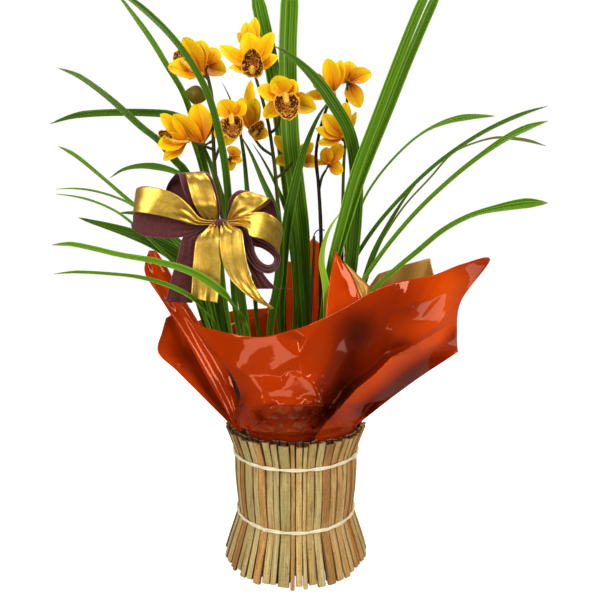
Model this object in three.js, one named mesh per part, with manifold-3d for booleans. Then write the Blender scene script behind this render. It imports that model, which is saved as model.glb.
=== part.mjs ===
// A potted orchid with arching strap leaves and golden flowers, in a plastic nursery pot wrapped in glossy
// orange film, standing in a waisted holder of dried reed slats tied with two raffia cords, with a double bow.
// Millimetres, +Z up, the front towards -Y, the origin at the centre of the holder's base on the surface.
import * as THREE from 'three';
import * as BufferGeometryUtils from 'three/addons/utils/BufferGeometryUtils.js';
import Module from 'manifold-3d';

// ---- driving dimensions ----
const GAP = 0.35;              // clearance between neighbouring pieces
const FOOT_R = 84;             // outside radius of the slats at the feet
const WAIST_R = 67.4;          // outside radius under the lower cord
const CHEST_R = 71.6;          // outside radius under the upper cord
const TOP_R = 82;              // outside radius at the slat tops
const LOWER_CORD_Z = 52, UPPER_CORD_Z = 121, TOP_Z = 150;
const CORD_R = 2.2;            // half thickness of a raffia cord
const SLATS = 56, BUNDLES = 4; // slats round the holder, in bundles
const SLAT_T = 4.2;
const DISC_R = 60, DISC_T = 5; // plywood disc the pot stands on
const POT_TOP_R = 57, POT_BASE_R = 43, POT_Z0 = 6.8, POT_Z1 = 134, POT_WALL = 1.6;
const BARK_Z = 124;            // level of the potting bark
const FILM_T = 0.7, RIBBON_T = 0.7;

// ---- layout, in millimetres: centre lines, tips and edges ----
const LAYOUT = {
  leaves: {
    leaf_left_tall: [{"p":[[-24.0,-26.0,150.0],[-64.2,-30,262.7],[-70.8,-34,362.1],[-75.2,-44,435.7],[-81.3,-50,473.9],[-90.9,-53,508.8],[-105.0,-54,536.9],[-124.9,-52,565.2],[-150.6,-48,592.6],[-181.9,-44,618.3],[-214.8,-40,634.9]],"w":7.8,"n":[0.314,-0.896,0.314]}],
    leaf_left_arc_thin: [{"p":[[-41.0,-27.0,150.0],[-74.9,-18,261.4],[-96.3,-6,410.1],[-121.2,-3,509.5],[-130.1,-3,533.1],[-146.9,-3,561.1],[-163.6,-3,588.9],[-194.4,-1,632.1],[-213.7,0,657.0]],"w":6.8,"n":[0.421,-0.842,0.337]}],
    leaf_left_high: [{"p":[[-59.0,4.0,150.0],[-87.7,4,258.9],[-105.1,2,382.4],[-131.9,0,445.6],[-139.7,-1,453.3],[-155.0,-3,473.3],[-175.6,-6,489.4],[-212.2,-10,522.1],[-243.7,-14,544.2],[-264.9,-16,554.4]],"w":11.1,"n":[0.185,-0.74,0.647]},{"p":[[-59.0,4.0,150.0],[-100.8,24,256.7],[-135.8,30,330.4],[-170.5,33,382.2],[-191.5,34,398.2],[-208.3,36,401.0],[-222.7,38,400.6]],"w":8.6,"n":[0.0,-0.6,0.8]}],
    leaf_left_dark: [{"p":[[-52.0,23.0,150.0],[-87.6,34,255.6],[-101.7,36,398.5],[-120.7,36,480.4],[-135.2,36,510.7],[-153.2,35,518.8],[-171.3,34,520.3],[-219.9,30,519.5],[-264.6,24,513.9],[-293.9,20,504.4]],"w":10.5,"n":[0.1,-0.796,0.597]}],
    leaf_left_mid: [{"p":[[-60.0,-11.0,150.0],[-90.3,-8,260.3],[-115.5,-6,339.0],[-157.7,-2,380.9],[-190.1,2,405.6],[-225.0,6,435.3],[-259.1,10,462.9],[-281.0,12,476.3]],"w":5.7,"n":[0.198,-0.693,0.693]},{"p":[[-60.0,-11.0,150.0],[-92.3,-10,258.1],[-118.8,-12,336.6],[-165.5,-14,386.3],[-188.3,-16,404.0],[-219.1,-20,415.6],[-244.0,-24,419.3],[-265.2,-26,419.0]],"w":5.1,"n":[0.196,-0.588,0.784]},{"p":[[-60.0,-11.0,150.0],[-92.9,-32,256.2],[-114.4,-42,314.1],[-156.4,-44,361.4],[-175.4,-44,378.4],[-191.3,-44,390.2],[-214.5,-42,401.1],[-237.8,-40,407.8],[-259.3,-38,411.4]],"w":4.4,"n":[0.0,-0.6,0.8]}],
    leaf_left_broad: [{"p":[[-59.0,14.0,152.0],[-99.0,14,255.4],[-115.0,12,306.2],[-135.1,8,339.5],[-159.2,2,356.8],[-190.1,-6,370.7],[-216.7,-14,379.6],[-231.9,-18,384.2],[-243.4,-22,388.1]],"w":16.1,"n":[0.1,-0.752,0.652]}],
    leaf_left_bright: [{"p":[[-33.0,-38.0,150.0],[-53.2,-58,265.8],[-58.0,-84,285.7],[-69.9,-108,306.4],[-94.3,-112,323.4],[-126.6,-110,333.8],[-165.9,-100,340.7],[-198.0,-92,347.9],[-222.2,-86,352.2],[-241.0,-84,353.3]],"w":9.3,"n":[0.0,-0.655,0.756]}],
    leaf_left_lowest: [{"p":[[-55.0,-24.0,150.0],[-81.7,-52,258.7],[-84.9,-74,275.8],[-91.1,-93,291.3],[-103.9,-104,304.4],[-126.1,-106,314.9],[-150.5,-101,320.6],[-177.8,-95,323.5],[-216.0,-88,325.5],[-239.2,-85,324.6]],"w":5.9,"n":[0.0,-0.655,0.756]}],
    leaf_left_back: [{"p":[[-44.0,36.0,150.0],[-93.7,56,250.6],[-126.5,66,291.6],[-153.3,70,328.4],[-166.7,72,352.1],[-177.0,72,370.5]],"w":9.8,"n":[0.199,-0.896,0.398]},{"p":[[-44.0,36.0,150.0],[-83.5,40,254.9],[-101.6,48,374.9],[-125.4,50,438.0],[-151.1,52,453.4],[-172.5,52,459.7],[-196.6,52,461.6],[-219.4,52,457.2],[-235.3,50,446.8]],"w":5.7,"n":[0.101,-0.704,0.704]}],
    leaf_centre_behind: [{"p":[[-6.0,44.0,150.0],[-0.3,52,253.6],[1.0,48,311.6],[-2.7,45,368.4],[-7.7,43,418.1],[-15.0,40,479.0],[-22.1,36,532.4],[-33.9,32,596.4],[-45.6,30,648.3],[-51.5,30,682.1]],"w":16.6,"n":[0.148,-0.984,0.098]}],
    leaf_centre_tall: [{"p":[[12.0,30.0,150.0],[14.7,28,256.3],[10.3,24,332.7],[6.7,22,378.6],[1.8,20,417.9],[-6.5,17,484.7],[-9.3,15,579.2],[-6.8,14,645.0],[-6.8,14,688.1]],"w":19.9,"n":[-0.099,-0.994,0.05]}],
    leaf_centre_arch: [{"p":[[50.0,-18.0,150.0],[54.7,-21,261.7],[60.8,-24,338.4],[64.4,-25,382.8],[65.7,-26,417.9],[63.1,-28,452.3],[54.5,-36,480.2],[39.9,-44,501.8],[23.7,-50,522.3],[4.8,-54,541.0],[-11.6,-56,553.2],[-22.4,-57,559.3]],"w":16.8,"n":[0.279,-0.931,0.233]}],
    leaf_centre_cross: [{"p":[[2.0,-8.0,152.0],[-16.1,-5,259.9],[-13.6,-7,335.5],[-9.5,-8,377.9],[-3.1,-10,412.9],[10.5,-12,465.3],[25.1,-14,500.2],[39.5,-16,521.5]],"w":12.8,"n":[-0.195,-0.976,0.098]},{"p":[[2.0,-8.0,152.0],[4.8,6,258.7],[1.3,4,306.4],[-3.4,2,365.0],[-8.0,1,388.1],[-20.7,0,422.6],[-38.0,0,457.0],[-50.6,0,476.4]],"w":7.5,"n":[0.282,-0.941,0.188]}],
    leaf_spike_dark: [{"p":[[-24.0,-16.0,152.0],[-29.3,-18,261.4],[-18.8,-22,329.5],[-21.9,-24,390.7],[-37.3,-24,429.2],[-50.7,-22,460.4],[-60.9,-20,478.5]],"w":10.2,"n":[0.195,-0.976,0.098]},{"p":[[-24.0,-16.0,152.0],[-46.0,16,257.6],[-52.4,12,353.9],[-57.8,10,424.4],[-62.0,8,470.6],[-70.0,8,510.9],[-80.3,8,537.3],[-86.1,8,548.7]],"w":6.3,"n":[0.195,-0.976,0.098]}],
    leaf_spike_left: [{"p":[[-38.0,-8.0,152.0],[-57.8,-8,260.3],[-66.5,-10,318.2],[-76.4,-10,375.4],[-90.8,-10,432.1],[-103.5,-8,466.3],[-113.9,-6,489.4]],"w":11.0,"n":[0.286,-0.953,0.095]}],
    leaf_right_twin: [{"p":[[28.0,-34.0,150.0],[29.0,-38,263.6],[38.5,-40,331.4],[50.6,-42,380.8],[63.1,-44,427.3],[88.2,-47,495.5],[107.2,-50,545.8],[129.0,-52,599.5],[144.8,-53,633.0]],"w":10.3,"n":[-0.327,-0.935,0.14]},{"p":[[30.0,-33.0,150.0],[31.8,-36,263.4],[42.5,-38,331.5],[56.2,-40,381.1],[71.1,-40,428.1],[98.6,-42,497.3],[117.9,-44,546.4],[142.0,-46,602.9],[155.9,-47,632.7]],"w":9.8,"n":[-0.147,-0.978,0.147]}],
    leaf_right_pale: [{"p":[[48.0,26.0,150.0],[52.0,30,256.1],[65.6,34,342.8],[80.4,36,408.3],[99.0,38,441.8],[134.2,42,482.0],[162.1,45,503.7],[191.5,48,516.4],[218.5,50,522.0],[250.7,52,524.5]],"w":7.5,"n":[-0.198,-0.693,0.693]},{"p":[[48.0,26.0,150.0],[67.7,38,255.2],[87.9,42,328.0],[131.7,50,404.1],[171.9,60,448.8],[202.2,64,481.6],[227.2,66,493.6],[257.6,68,501.8],[283.2,70,501.1],[301.5,70,498.5],[325.0,70,492.1]],"w":5.5,"n":[-0.198,-0.693,0.693]}],
    leaf_right_long: [{"p":[[52.0,-6.0,150.0],[53.4,-10,260.5],[62.1,-12,329.7],[69.9,-13,345.6],[92.0,-16,379.3],[123.6,-20,415.6],[155.3,-25,445.4],[185.3,-30,467.0],[215.1,-34,484.0],[247.6,-38,497.6],[268.9,-42,503.5]],"w":8.3,"n":[-0.252,-0.756,0.605]}],
    leaf_right_bright: [{"p":[[48.0,-29.0,152.0],[57.3,-40,263.8],[65.1,-46,305.5],[75.5,-48,321.6],[97.6,-54,354.3],[125.8,-62,388.8],[152.0,-70,414.9],[178.1,-78,437.0],[206.1,-86,456.3],[225.5,-90,465.6],[242.6,-94,471.0]],"w":8.8,"n":[-0.287,-0.766,0.575]}],
    leaf_right_low: [{"p":[[57.0,-17.0,152.0],[64.9,-50,262.8],[71.6,-62,294.5],[81.0,-68,308.2],[98.2,-74,325.7],[120.9,-80,345.6],[146.2,-88,367.7],[172.2,-94,381.5],[197.5,-98,387.6],[220.5,-102,390.8],[239.4,-104,391.5]],"w":9.5,"n":[-0.1,-0.752,0.652]}],
    leaf_right_upright: [{"p":[[54.0,11.0,152.0],[48.3,14,257.8],[57.7,14,312.1],[64.7,14,365.9],[70.5,15,407.6],[72.9,16,432.6]],"w":7.7,"n":[0.0,-0.995,0.1]},{"p":[[54.0,11.0,152.0],[65.2,14,257.8],[79.7,16,306.1],[94.1,18,349.4],[113.5,20,388.0],[131.7,22,417.1],[148.3,24,437.8]],"w":7.7,"n":[-0.199,-0.896,0.398]}],
    leaf_young: [{"p":[[26.0,-18.0,154.0],[33.8,-50,264.9],[32.3,-55,310.0],[27.4,-57,337.4],[31.0,-58,360.3],[37.7,-59,375.7],[46.4,-60,388.0]],"w":8.4,"n":[0.099,-0.99,0.099]}],
  },
  flowers: {
    flower_left_top: {
      c: [-101.88,-26,543.07],
      f: [-0.814,-0.458,0.356],
      t: [[-121.8,-30,580.62,16.8],[-110.76,-16,583.72,13.4],[-136.26,-38,546.95,19.0],[-123.17,-12,553.88,13.4]],
      lip: [-132.22,-24,565.92],
    },
    flower_left_top_back: {
      c: [-100.54,-8,560.12],
      f: [0.309,0.928,0.206],
      t: [[-108.6,-2,592.19,13.9],[-88.39,-4,581.22,15.0],[-78.57,-10,553.08,17.3],[-95.62,4,572.02,11.6],[-108.77,-6,547.54,11.6]],
    },
    flower_centre_top: {
      c: [-44.74,-28,549.17],
      f: [0.0,-0.8,0.6],
      t: [[-81.16,-32,571.74,14.5],[-70.52,-38,545.91,10.0],[-24.9,-30,586.42,14.5],[-19.36,-34,559.75,13.4],[-52.81,-22,590.45,18.9]],
      lip: [-44.19,-44,563.95],
    },
    flower_centre_top_back: {
      c: [-50.33,2,582.36],
      f: [0.108,0.647,0.755],
      t: [[-57.28,4,614.77,12.9],[-47.09,6,621.44,10.6],[-66.81,6,604.56,8.2],[-44.05,10,604.3,9.4]],
    },
    flower_centre_front: {
      c: [-11.77,-38,512.85],
      f: [0.099,-0.99,0.099],
      t: [[-20.39,-36,537.84,18.6],[-1.61,-35,534.04,16.4],[21.99,-39,501.97,17.5],[-40.5,-40,523.11,15.3],[-33.68,-40,492.68,14.2]],
      lip: [-6.15,-51,483.88],
    },
    flower_left_front: {
      c: [-67.7,-34,492.54],
      f: [-0.05,-0.994,0.099],
      t: [[-81.62,-34,512.21,17.6],[-56.03,-31,512.77,14.3],[-87.0,-36,472.76,13.2],[-74.87,-38,463.69,14.3]],
      lip: [-64.57,-47,464.86],
    },
    flower_left_side: {
      c: [-50.24,-20,485.1],
      f: [0.808,-0.577,0.115],
      t: [[-59.69,-23,519.48,15.8],[-44.51,-14,522.27,14.7],[-30.65,-22,479.02,14.7],[-51.04,-4,546.13,10.2]],
      lip: [-36.77,-28,494.51],
    },
    flower_far_left: {
      c: [-118.07,-28,471.85],
      f: [-0.909,-0.404,-0.101],
      t: [[-149.57,-24,501.25,12.3],[-148.71,-36,464.24,16.7],[-146.36,-26,451.21,12.3],[-139.71,-16,492.94,11.1]],
      lip: [-148.59,-32,480.36],
    },
    flower_left_under: {
      c: [-103.25,-20,470.28],
      f: [-0.303,0.505,0.808],
      t: [[-134.15,-26,500.57,17.0],[-111.02,-18,515.87,20.3],[-97.8,-12,503.09,12.4]],
    },
    flower_small_low: {
      c: [-74.16,-6,458.94],
      f: [0.228,0.912,0.342],
      t: [[-67.48,-4,470.77,12.8],[-73.69,-6,443.66,9.3],[-61.34,-8,454.49,9.3]],
    },
    flower_right_top: {
      c: [43.64,2,533.53],
      f: [-0.895,-0.316,0.316],
      t: [[35.12,0,571.8,15.3],[51.37,8,574.26,12.9],[8.92,6,532.54,10.6],[37.67,10,524.27,10.6]],
      lip: [21.09,-2,555.91],
    },
    flower_right_top_back: {
      c: [61.86,14,551.15],
      f: [0.309,0.928,0.206],
      t: [[64.04,18,577.7,14.4],[88.46,12,561.84,15.6],[76.29,14,522.22,16.8],[53.05,20,555.9,9.6]],
    },
    flower_right_mid: {
      c: [53.77,-6,480.37],
      f: [-0.444,-0.778,0.444],
      t: [[30.98,-8,506.66,15.1],[22.92,-12,489.76,10.4],[25.47,-14,472.17,10.4],[57.04,-2,522.78,12.8],[69.85,4,513.57,7.0]],
    },
    flower_right_low: {
      c: [38.69,6,453.27],
      f: [0.11,0.988,0.11],
      t: [[35.24,6,473.48,11.9],[53.51,8,478.07,13.0],[55.23,6,445.17,13.0],[28.5,12,462.28,9.5]],
    },
    flower_hidden: {
      c: [1.22,26,468.14],
      f: [0.0,-0.976,0.217],
      t: [[-25.95,24,460.49,13.5],[29.01,24,458.1,13.5],[-26.09,28,492.6,13.5],[20.63,28,484.23,12.3]],
    },
  },
  spikes: {
    spike_left: [{"p":[[-30.0,-8.0,152.0],[-64.0,-14,260.9],[-75.7,-16,352.3],[-85.2,-18,402.6],[-90.1,-20,441.1],[-92.3,-18,485.7],[-93.2,-16,518.2],[-96.0,-14,535.5],[-99.4,-13,549.1]],"r":[2.6,1.5]},{"p":[[-91.1,-19,474.4],[-96.4,-21,470.6]],"r":[1.3,1.1]},{"p":[[-90.7,-19,463.4],[-100.8,-27,465.6],[-113.7,-28,469.7]],"r":[1.2,1.0]},{"p":[[-90.0,-20,452.1],[-81.7,-22,473.6],[-74.1,-28,484.8]],"r":[1.2,1.0]}],
    spike_centre: [{"p":[[-4.0,6.0,152.0],[-14.1,2,259.1],[-13.3,0,329.9],[-16.1,-2,364.7],[-21.0,-6,410.1],[-23.6,-10,443.3],[-28.4,-14,480.3],[-31.0,-16,495.1],[-37.5,-18,520.8],[-43.4,-19,540.0]],"r":[2.6,1.4]},{"p":[[-28.4,-14,483.6],[-20.6,-22,487.8],[-15.8,-31,501.0]],"r":[1.3,1.1]},{"p":[[-26.9,-12,459.7],[-38.0,-14,466.9],[-46.9,-15,477.8]],"r":[1.3,1.1]},{"p":[[-22.0,-8,434.7],[-13.9,6,444.6],[-4.7,18,457.9]],"r":[1.3,1.1]}],
    spike_right: [{"p":[[24.0,-2.0,152.0],[28.3,-2,259.6],[29.3,0,370.6],[26.4,2,428.7],[23.5,4,463.7],[28.2,6,493.0],[35.1,5,515.6],[39.6,4,526.7]],"r":[2.5,1.4]},{"p":[[27.0,2,423.0],[30.6,4,438.4],[35.2,5,446.7]],"r":[1.3,1.1]}],
    spike_right_back: [{"p":[[42.0,20.0,152.0],[55.0,22,256.9],[55.7,20,354.4],[56.4,18,425.9],[57.3,16,460.9],[60.7,17,508.1],[60.6,17,533.8]],"r":[2.3,1.3]}],
  },
  stakes: {
    stake_centre: [{"p":[[14.0,-14.0,128.0],[16.3,-16,261.1],[20.8,-14,352.4],[20.8,-14,368.2]],"r":[1.6,1.6]}],
    stake_right: [{"p":[[52.0,4.0,128.0],[59.2,2,259.1],[59.4,2,353.3],[57.4,2,395.2]],"r":[2.6,2.6]}],
  },
  bud: {
    a: [-99.66,-16,521.53],
    b: [-122.11,-20,527.12],
    r: 10,
  },
  film_front: [[[-41.1,-47.2,58],[-41.5,-47.7,112],[-46.3,-53.2,141],[-49.9,-57.4,157],[-51.8,-64,192.7],[-76.0,-68,233.6],[-109.4,-74,276.8]],[[-35.0,-51.9,58],[-35.3,-52.4,112],[-39.4,-58.4,141],[-42.5,-63.0,157],[-46.5,-75,187.2],[-63.4,-84,228.3],[-85.0,-90,270.8]],[[-25.5,-57.2,58],[-25.7,-57.7,112],[-28.7,-64.4,141],[-30.9,-69.4,157],[-29.3,-86,186.2],[-33.0,-100,226.6],[-35.6,-112,265.1]],[[-16.2,-60.5,58],[-16.4,-61.0,112],[-18.2,-68.1,141],[-19.7,-73.4,157],[-11.0,-92,185.9],[-6.4,-114,232.3],[-2.4,-130,273.8]],[[-7.6,-62.1,58],[-7.7,-62.7,112],[-8.6,-70.0,141],[-9.3,-75.4,157],[6.8,-94,186.5],[14.2,-114,236.1],[16.7,-126,279.7]],[[1.1,-62.6,58],[1.1,-63.2,112],[1.2,-70.5,141],[1.3,-76.0,157],[22.7,-92,187.9],[39.4,-104,241.9],[48.4,-108,293.2]],[[9.8,-61.8,58],[9.9,-62.4,112],[11.0,-69.6,141],[11.9,-75.1,157],[37.0,-86,190.3],[62.0,-92,249.8],[75.3,-92,307.4]],[[18.3,-59.9,58],[18.5,-60.4,112],[20.6,-67.4,141],[22.2,-72.7,157],[49.5,-80,194.8],[83.6,-80,253.0],[103.0,-76,316.6]],[[26.5,-56.7,58],[26.7,-57.3,112],[29.8,-63.9,141],[32.1,-68.9,157],[60.6,-72,194.8],[108.8,-66,251.0],[144.4,-58,323.7]],[[34.1,-52.5,58],[34.4,-53.0,112],[38.4,-59.1,141],[41.4,-63.7,157],[72.0,-64,195.9],[133.6,-50,254.1],[180.1,-42,335.7]],[[41.1,-47.2,58],[41.5,-47.7,112],[46.3,-53.2,141],[49.9,-57.4,157],[81.9,-54,195.5],[150.3,-36,257.8],[217.4,-24,340.7]],[[47.2,-41.1,58],[47.7,-41.5,112],[53.2,-46.3,141],[57.4,-49.9,157],[92.2,-44,191.9],[153.8,-24,245.0],[191.7,-10,289.4]],[[52.5,-34.1,58],[53.0,-34.4,112],[59.1,-38.4,141],[63.7,-41.4,157],[98.7,-32,186.6],[153.4,-10,216.2],[191.5,4,231.5]],[[56.7,-26.5,58],[57.3,-26.7,112],[63.9,-29.8,141],[68.9,-32.1,157],[96.6,-18,185.3],[144.6,2,230.6],[182.7,20,271.8]]],
  film_back: [[[57.3,-16.4,58],[57.9,-16.6,112],[64.4,-18.5,141],[71.1,-20.4,158],[94.6,-2,178.9],[128.2,14,233.5],[168.2,30,285.9]],[[59.6,-0.0,58],[60.2,-0.0,112],[67.0,-0.0,141],[74.0,-0.0,158],[81.5,24,182.3],[125.4,50,259.0],[173.2,60,345.1]],[[56.0,20.4,58],[56.6,20.6,112],[63.0,22.9,141],[69.5,25.3,158],[66.3,46,187.4],[98.1,74,267.2],[128.8,84,332.6]],[[47.0,36.7,58],[47.4,37.1,112],[52.8,41.2,141],[58.3,45.6,158],[50.7,60,189.6],[76.3,82,272.0],[97.7,92,312.3]],[[33.3,49.4,58],[33.7,49.9,112],[37.5,55.5,141],[41.4,61.3,158],[35.4,68,193.2],[52.1,84,288.1],[54.9,88,358.3]],[[20.4,56.0,58],[20.6,56.6,112],[22.9,63.0,141],[25.3,69.5,158],[15.5,72,192.4],[29.4,88,271.5],[39.1,94,301.3]],[[6.2,59.3,58],[6.3,59.9,112],[7.0,66.6,141],[7.7,73.6,158],[-0.5,74,192.0],[13.0,88,287.9],[21.8,90,374.6]],[[-7.3,59.2,58],[-7.3,59.8,112],[-8.2,66.5,141],[-9.0,73.4,158],[-21.9,73,194.9],[-16.9,88,271.5],[-8.8,94,342.3]],[[-20.4,56.0,58],[-20.6,56.6,112],[-22.9,63.0,141],[-25.3,69.5,158],[-43.0,69,195.7],[-46.8,86,260.8],[-50.2,96,301.2]],[[-35.0,48.2,58],[-35.4,48.7,112],[-39.4,54.2,141],[-43.5,59.9,158],[-68.5,60,189.6],[-83.7,78,253.4],[-96.4,92,290.4]],[[-47.6,35.9,58],[-48.1,36.2,112],[-53.5,40.3,141],[-59.1,44.5,158],[-90.0,46,187.4],[-124.1,66,262.6],[-146.0,82,293.6]],[[-56.0,20.4,58],[-56.6,20.6,112],[-63.0,22.9,141],[-69.5,25.3,158],[-102.1,28,186.3],[-144.8,44,274.9],[-186.1,50,354.8]],[[-59.5,4.2,58],[-60.1,4.2,112],[-66.8,4.7,141],[-73.8,5.2,158],[-108.1,8,188.5],[-147.7,16,260.0],[-184.6,28,323.0]],[[-58.5,-11.4,58],[-59.1,-11.5,112],[-65.8,-12.8,141],[-72.6,-14.1,158],[-106.4,-12,190.9],[-130.8,-14,240.1],[-147.0,-12,275.7]],[[-54.0,-25.2,58],[-54.6,-25.4,112],[-60.7,-28.3,141],[-67.1,-31.3,158],[-101.0,-28,187.9],[-130.5,-34,225.3],[-152.5,-34,238.7]],[[-47.6,-35.9,58],[-48.1,-36.2,112],[-53.5,-40.3,141],[-59.1,-44.5,158],[-82.6,-44,178.6],[-99.1,-48,197.3],[-113.7,-50,206.5]]],
  gold: [[[-78.3,-78,378.6,-78.3,-78,371.7],[-99.1,-88,380.4,-99.2,-88,371.6],[-117.7,-98,399.1,-124.6,-98,381.9],[-138.0,-100,408.1,-144.1,-100,382.6],[-152.5,-94,407.4,-155.7,-94,384.4],[-158.2,-86,404.0,-159.5,-86,384.5],[-150.1,-78,400.5,-152.3,-78,382.6],[-120.8,-72,391.4,-122.0,-72,375.3],[-80.0,-74,378.1,-80.0,-74,372.1]],[[-81.0,-74,379.1,-74.9,-74,379.1],[-89.8,-80,393.2,-75.9,-80,388.3],[-101.2,-86,408.9,-79.6,-86,406.9],[-108.4,-84,420.9,-84.8,-84,420.0],[-108.7,-74,426.5,-87.6,-74,426.5],[-102.9,-64,423.1,-87.5,-64,423.1],[-92.2,-62,401.1,-79.9,-62,401.1],[-81.0,-68,380.9,-74.9,-68,380.9]],[[-74.3,-72,378.3,-72.3,-72,373.3],[-62.6,-82,391.9,-54.7,-82,378.1],[-48.7,-90,402.3,-36.1,-90,383.0],[-32.3,-88,404.6,-22.6,-88,389.1],[-25.2,-76,402.8,-19.3,-76,390.8],[-34.1,-66,398.4,-30.0,-66,386.2],[-57.0,-64,388.5,-52.9,-64,378.3],[-73.9,-68,378.8,-71.9,-68,373.7]],[[-71.9,-74,376.1,-73.0,-74,369.1],[-45.7,-92,384.7,-47.8,-92,359.5],[-27.8,-98,381.9,-31.7,-98,356.2],[-15.7,-90,371.4,-18.7,-90,348.0],[-17.3,-76,360.9,-21.4,-76,336.7],[-36.3,-66,365.8,-40.5,-66,345.3],[-57.0,-64,376.2,-59.2,-64,363.9],[-71.5,-70,375.5,-72.6,-70,369.5]],[[-79.0,-80,372.4,-73.0,-80,368.5],[-91.6,-92,357.6,-72.1,-92,353.7],[-96.0,-100,328.3,-72.0,-100,326.4],[-99.7,-102,297.6,-78.6,-102,295.7]],[[-76.0,-80,369.5,-70.0,-80,372.4],[-70.6,-96,345.7,-49.2,-96,357.3],[-60.0,-104,316.8,-38.9,-104,332.0],[-38.9,-106,294.0,-23.7,-106,299.7]]],
  maroon: [[[-82.5,-54,379.4,-82.5,-54,371.1],[-110.0,-58,376.9,-107.0,-58,364.4],[-139.8,-62,395.9,-140.3,-62,364.1],[-163.2,-60,397.3,-167.8,-60,370.5],[-169.5,-48,397.0,-172.0,-48,371.6],[-145.8,-42,391.5,-146.2,-42,365.8],[-83.2,-50,379.9,-83.2,-50,372.5]],[[-86.7,-48,384.4,-81.4,-48,380.1],[-114.3,-56,402.0,-99.8,-56,395.8],[-132.4,-58,416.1,-113.8,-58,405.9],[-129.7,-52,427.7,-110.9,-52,419.4],[-116.8,-44,434.7,-95.5,-44,429.4],[-98.4,-40,434.5,-81.3,-40,421.7],[-84.7,-40,408.9,-75.0,-40,400.4],[-82.8,-46,384.6,-78.5,-46,381.4]],[[-76.0,-48,382.2,-74.0,-48,375.9],[-66.8,-52,404.8,-50.0,-52,396.4],[-54.3,-50,415.6,-26.9,-50,403.0],[-40.2,-42,414.9,-16.7,-42,395.8],[-36.3,-38,400.7,-21.2,-38,383.4],[-74.5,-44,381.6,-72.4,-44,375.2]],[[-74.7,-50,375.7,-75.8,-50,367.2],[-45.5,-56,360.4,-47.7,-56,347.9],[-20.3,-58,347.8,-30.8,-58,326.9],[-14.4,-48,354.7,-20.8,-48,331.2],[-21.0,-42,376.5,-25.4,-42,355.1],[-74.3,-46,376.1,-74.3,-46,368.7]],[[-85.3,-56,372.9,-78.0,-56,368.8],[-114.5,-66,359.6,-94.0,-66,351.4],[-125.6,-72,326.7,-99.2,-72,322.6],[-131.6,-74,296.2,-106.1,-74,296.2]],[[-79.4,-54,369.0,-73.0,-54,373.1],[-57.5,-62,343.4,-38.7,-62,353.8],[-44.7,-66,322.6,-28.1,-66,332.9],[-38.6,-66,307.2,-20.0,-66,309.2]]],
  knot: [-74.94,-76,374.57],
  knot2: [-79.09,-51,376.62],
};

const wasm = await Module();
wasm.setup();
const group = new THREE.Group();
group.name = 'potted_orchid';
const V = (a) => new THREE.Vector3(a[0], a[1], a[2]);

function solid(geometry) {
  const g = geometry.index ? geometry.clone() : geometry.clone();
  for (const k of ['normal', 'uv', 'uv1', 'uv2']) if (g.getAttribute(k)) g.deleteAttribute(k);
  const m = BufferGeometryUtils.mergeVertices(g, 1e-4);
  const idx = [];
  const src = m.index.array;
  for (let i = 0; i < src.length; i += 3) {
    if (src[i] !== src[i + 1] && src[i + 1] !== src[i + 2] && src[i] !== src[i + 2]) idx.push(src[i], src[i + 1], src[i + 2]);
  }
  return new wasm.Manifold(new wasm.Mesh({
    numProp: 3,
    vertProperties: new Float32Array(m.getAttribute('position').array),
    triVerts: new Uint32Array(idx),
  }));
}

function toGeometry(man) {
  const mesh = man.getMesh();
  const g = new THREE.BufferGeometry();
  const np = mesh.numProp;
  const pos = new Float32Array((mesh.vertProperties.length / np) * 3);
  for (let i = 0; i < pos.length / 3; i++) for (let k = 0; k < 3; k++) pos[i * 3 + k] = mesh.vertProperties[i * np + k];
  g.setAttribute('position', new THREE.BufferAttribute(pos, 3));
  g.setIndex(new THREE.BufferAttribute(new Uint32Array(mesh.triVerts), 1));
  const out = BufferGeometryUtils.mergeVertices(g, 2e-3);
  const src = out.index.array, idx = [];
  for (let i = 0; i < src.length; i += 3) {
    if (src[i] !== src[i + 1] && src[i + 1] !== src[i + 2] && src[i] !== src[i + 2]) idx.push(src[i], src[i + 1], src[i + 2]);
  }
  out.setIndex(idx);
  out.computeVertexNormals();
  return out;
}

// a solid from points and triangles, turned to face outwards
function shell(verts, tris) {
  const make = (flip) => {
    const g = new THREE.BufferGeometry();
    g.setAttribute('position', new THREE.Float32BufferAttribute(verts.flatMap((p) => [p.x, p.y, p.z]), 3));
    g.setIndex(tris.flatMap(([a, b, c]) => (flip ? [a, c, b] : [a, b, c])));
    return solid(g);
  };
  const s = make(false);
  return s.volume() > 0 ? s : make(true);
}

// a closed loft through stations, each a ring of points; both halves of a ring split their quads alike, so a thin twisted blade keeps its walls apart
function loft(rings) {
  const n = rings[0].length, m = rings.length;
  const verts = rings.flat();
  const tris = [];
  for (let i = 0; i < m - 1; i++)
    for (let k = 0; k < n; k++) {
      const a = i * n + k, b = i * n + ((k + 1) % n), c = (i + 1) * n + ((k + 1) % n), d = (i + 1) * n + k;
      if (k < n / 2) tris.push([a, b, c], [a, c, d]);
      else tris.push([a, b, d], [b, c, d]);
    }
  for (const [row, flip] of [[0, true], [m - 1, false]]) {
    if (n === 4) { // a folded section is closed across its middle
      const r = row * n;
      tris.push(...(flip ? [[r + 1, r, r + 3], [r + 2, r + 1, r + 3]] : [[r, r + 1, r + 3], [r + 1, r + 2, r + 3]]));
      continue;
    }
    const mid = verts.length;
    verts.push(rings[row].reduce((s, c) => s.add(c), new THREE.Vector3()).multiplyScalar(1 / n));
    for (let k = 0; k < n; k++) {
      const a = row * n + k, b = row * n + ((k + 1) % n);
      tris.push(flip ? [b, a, mid] : [a, b, mid]);
    }
  }
  return shell(verts, tris);
}

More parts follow.
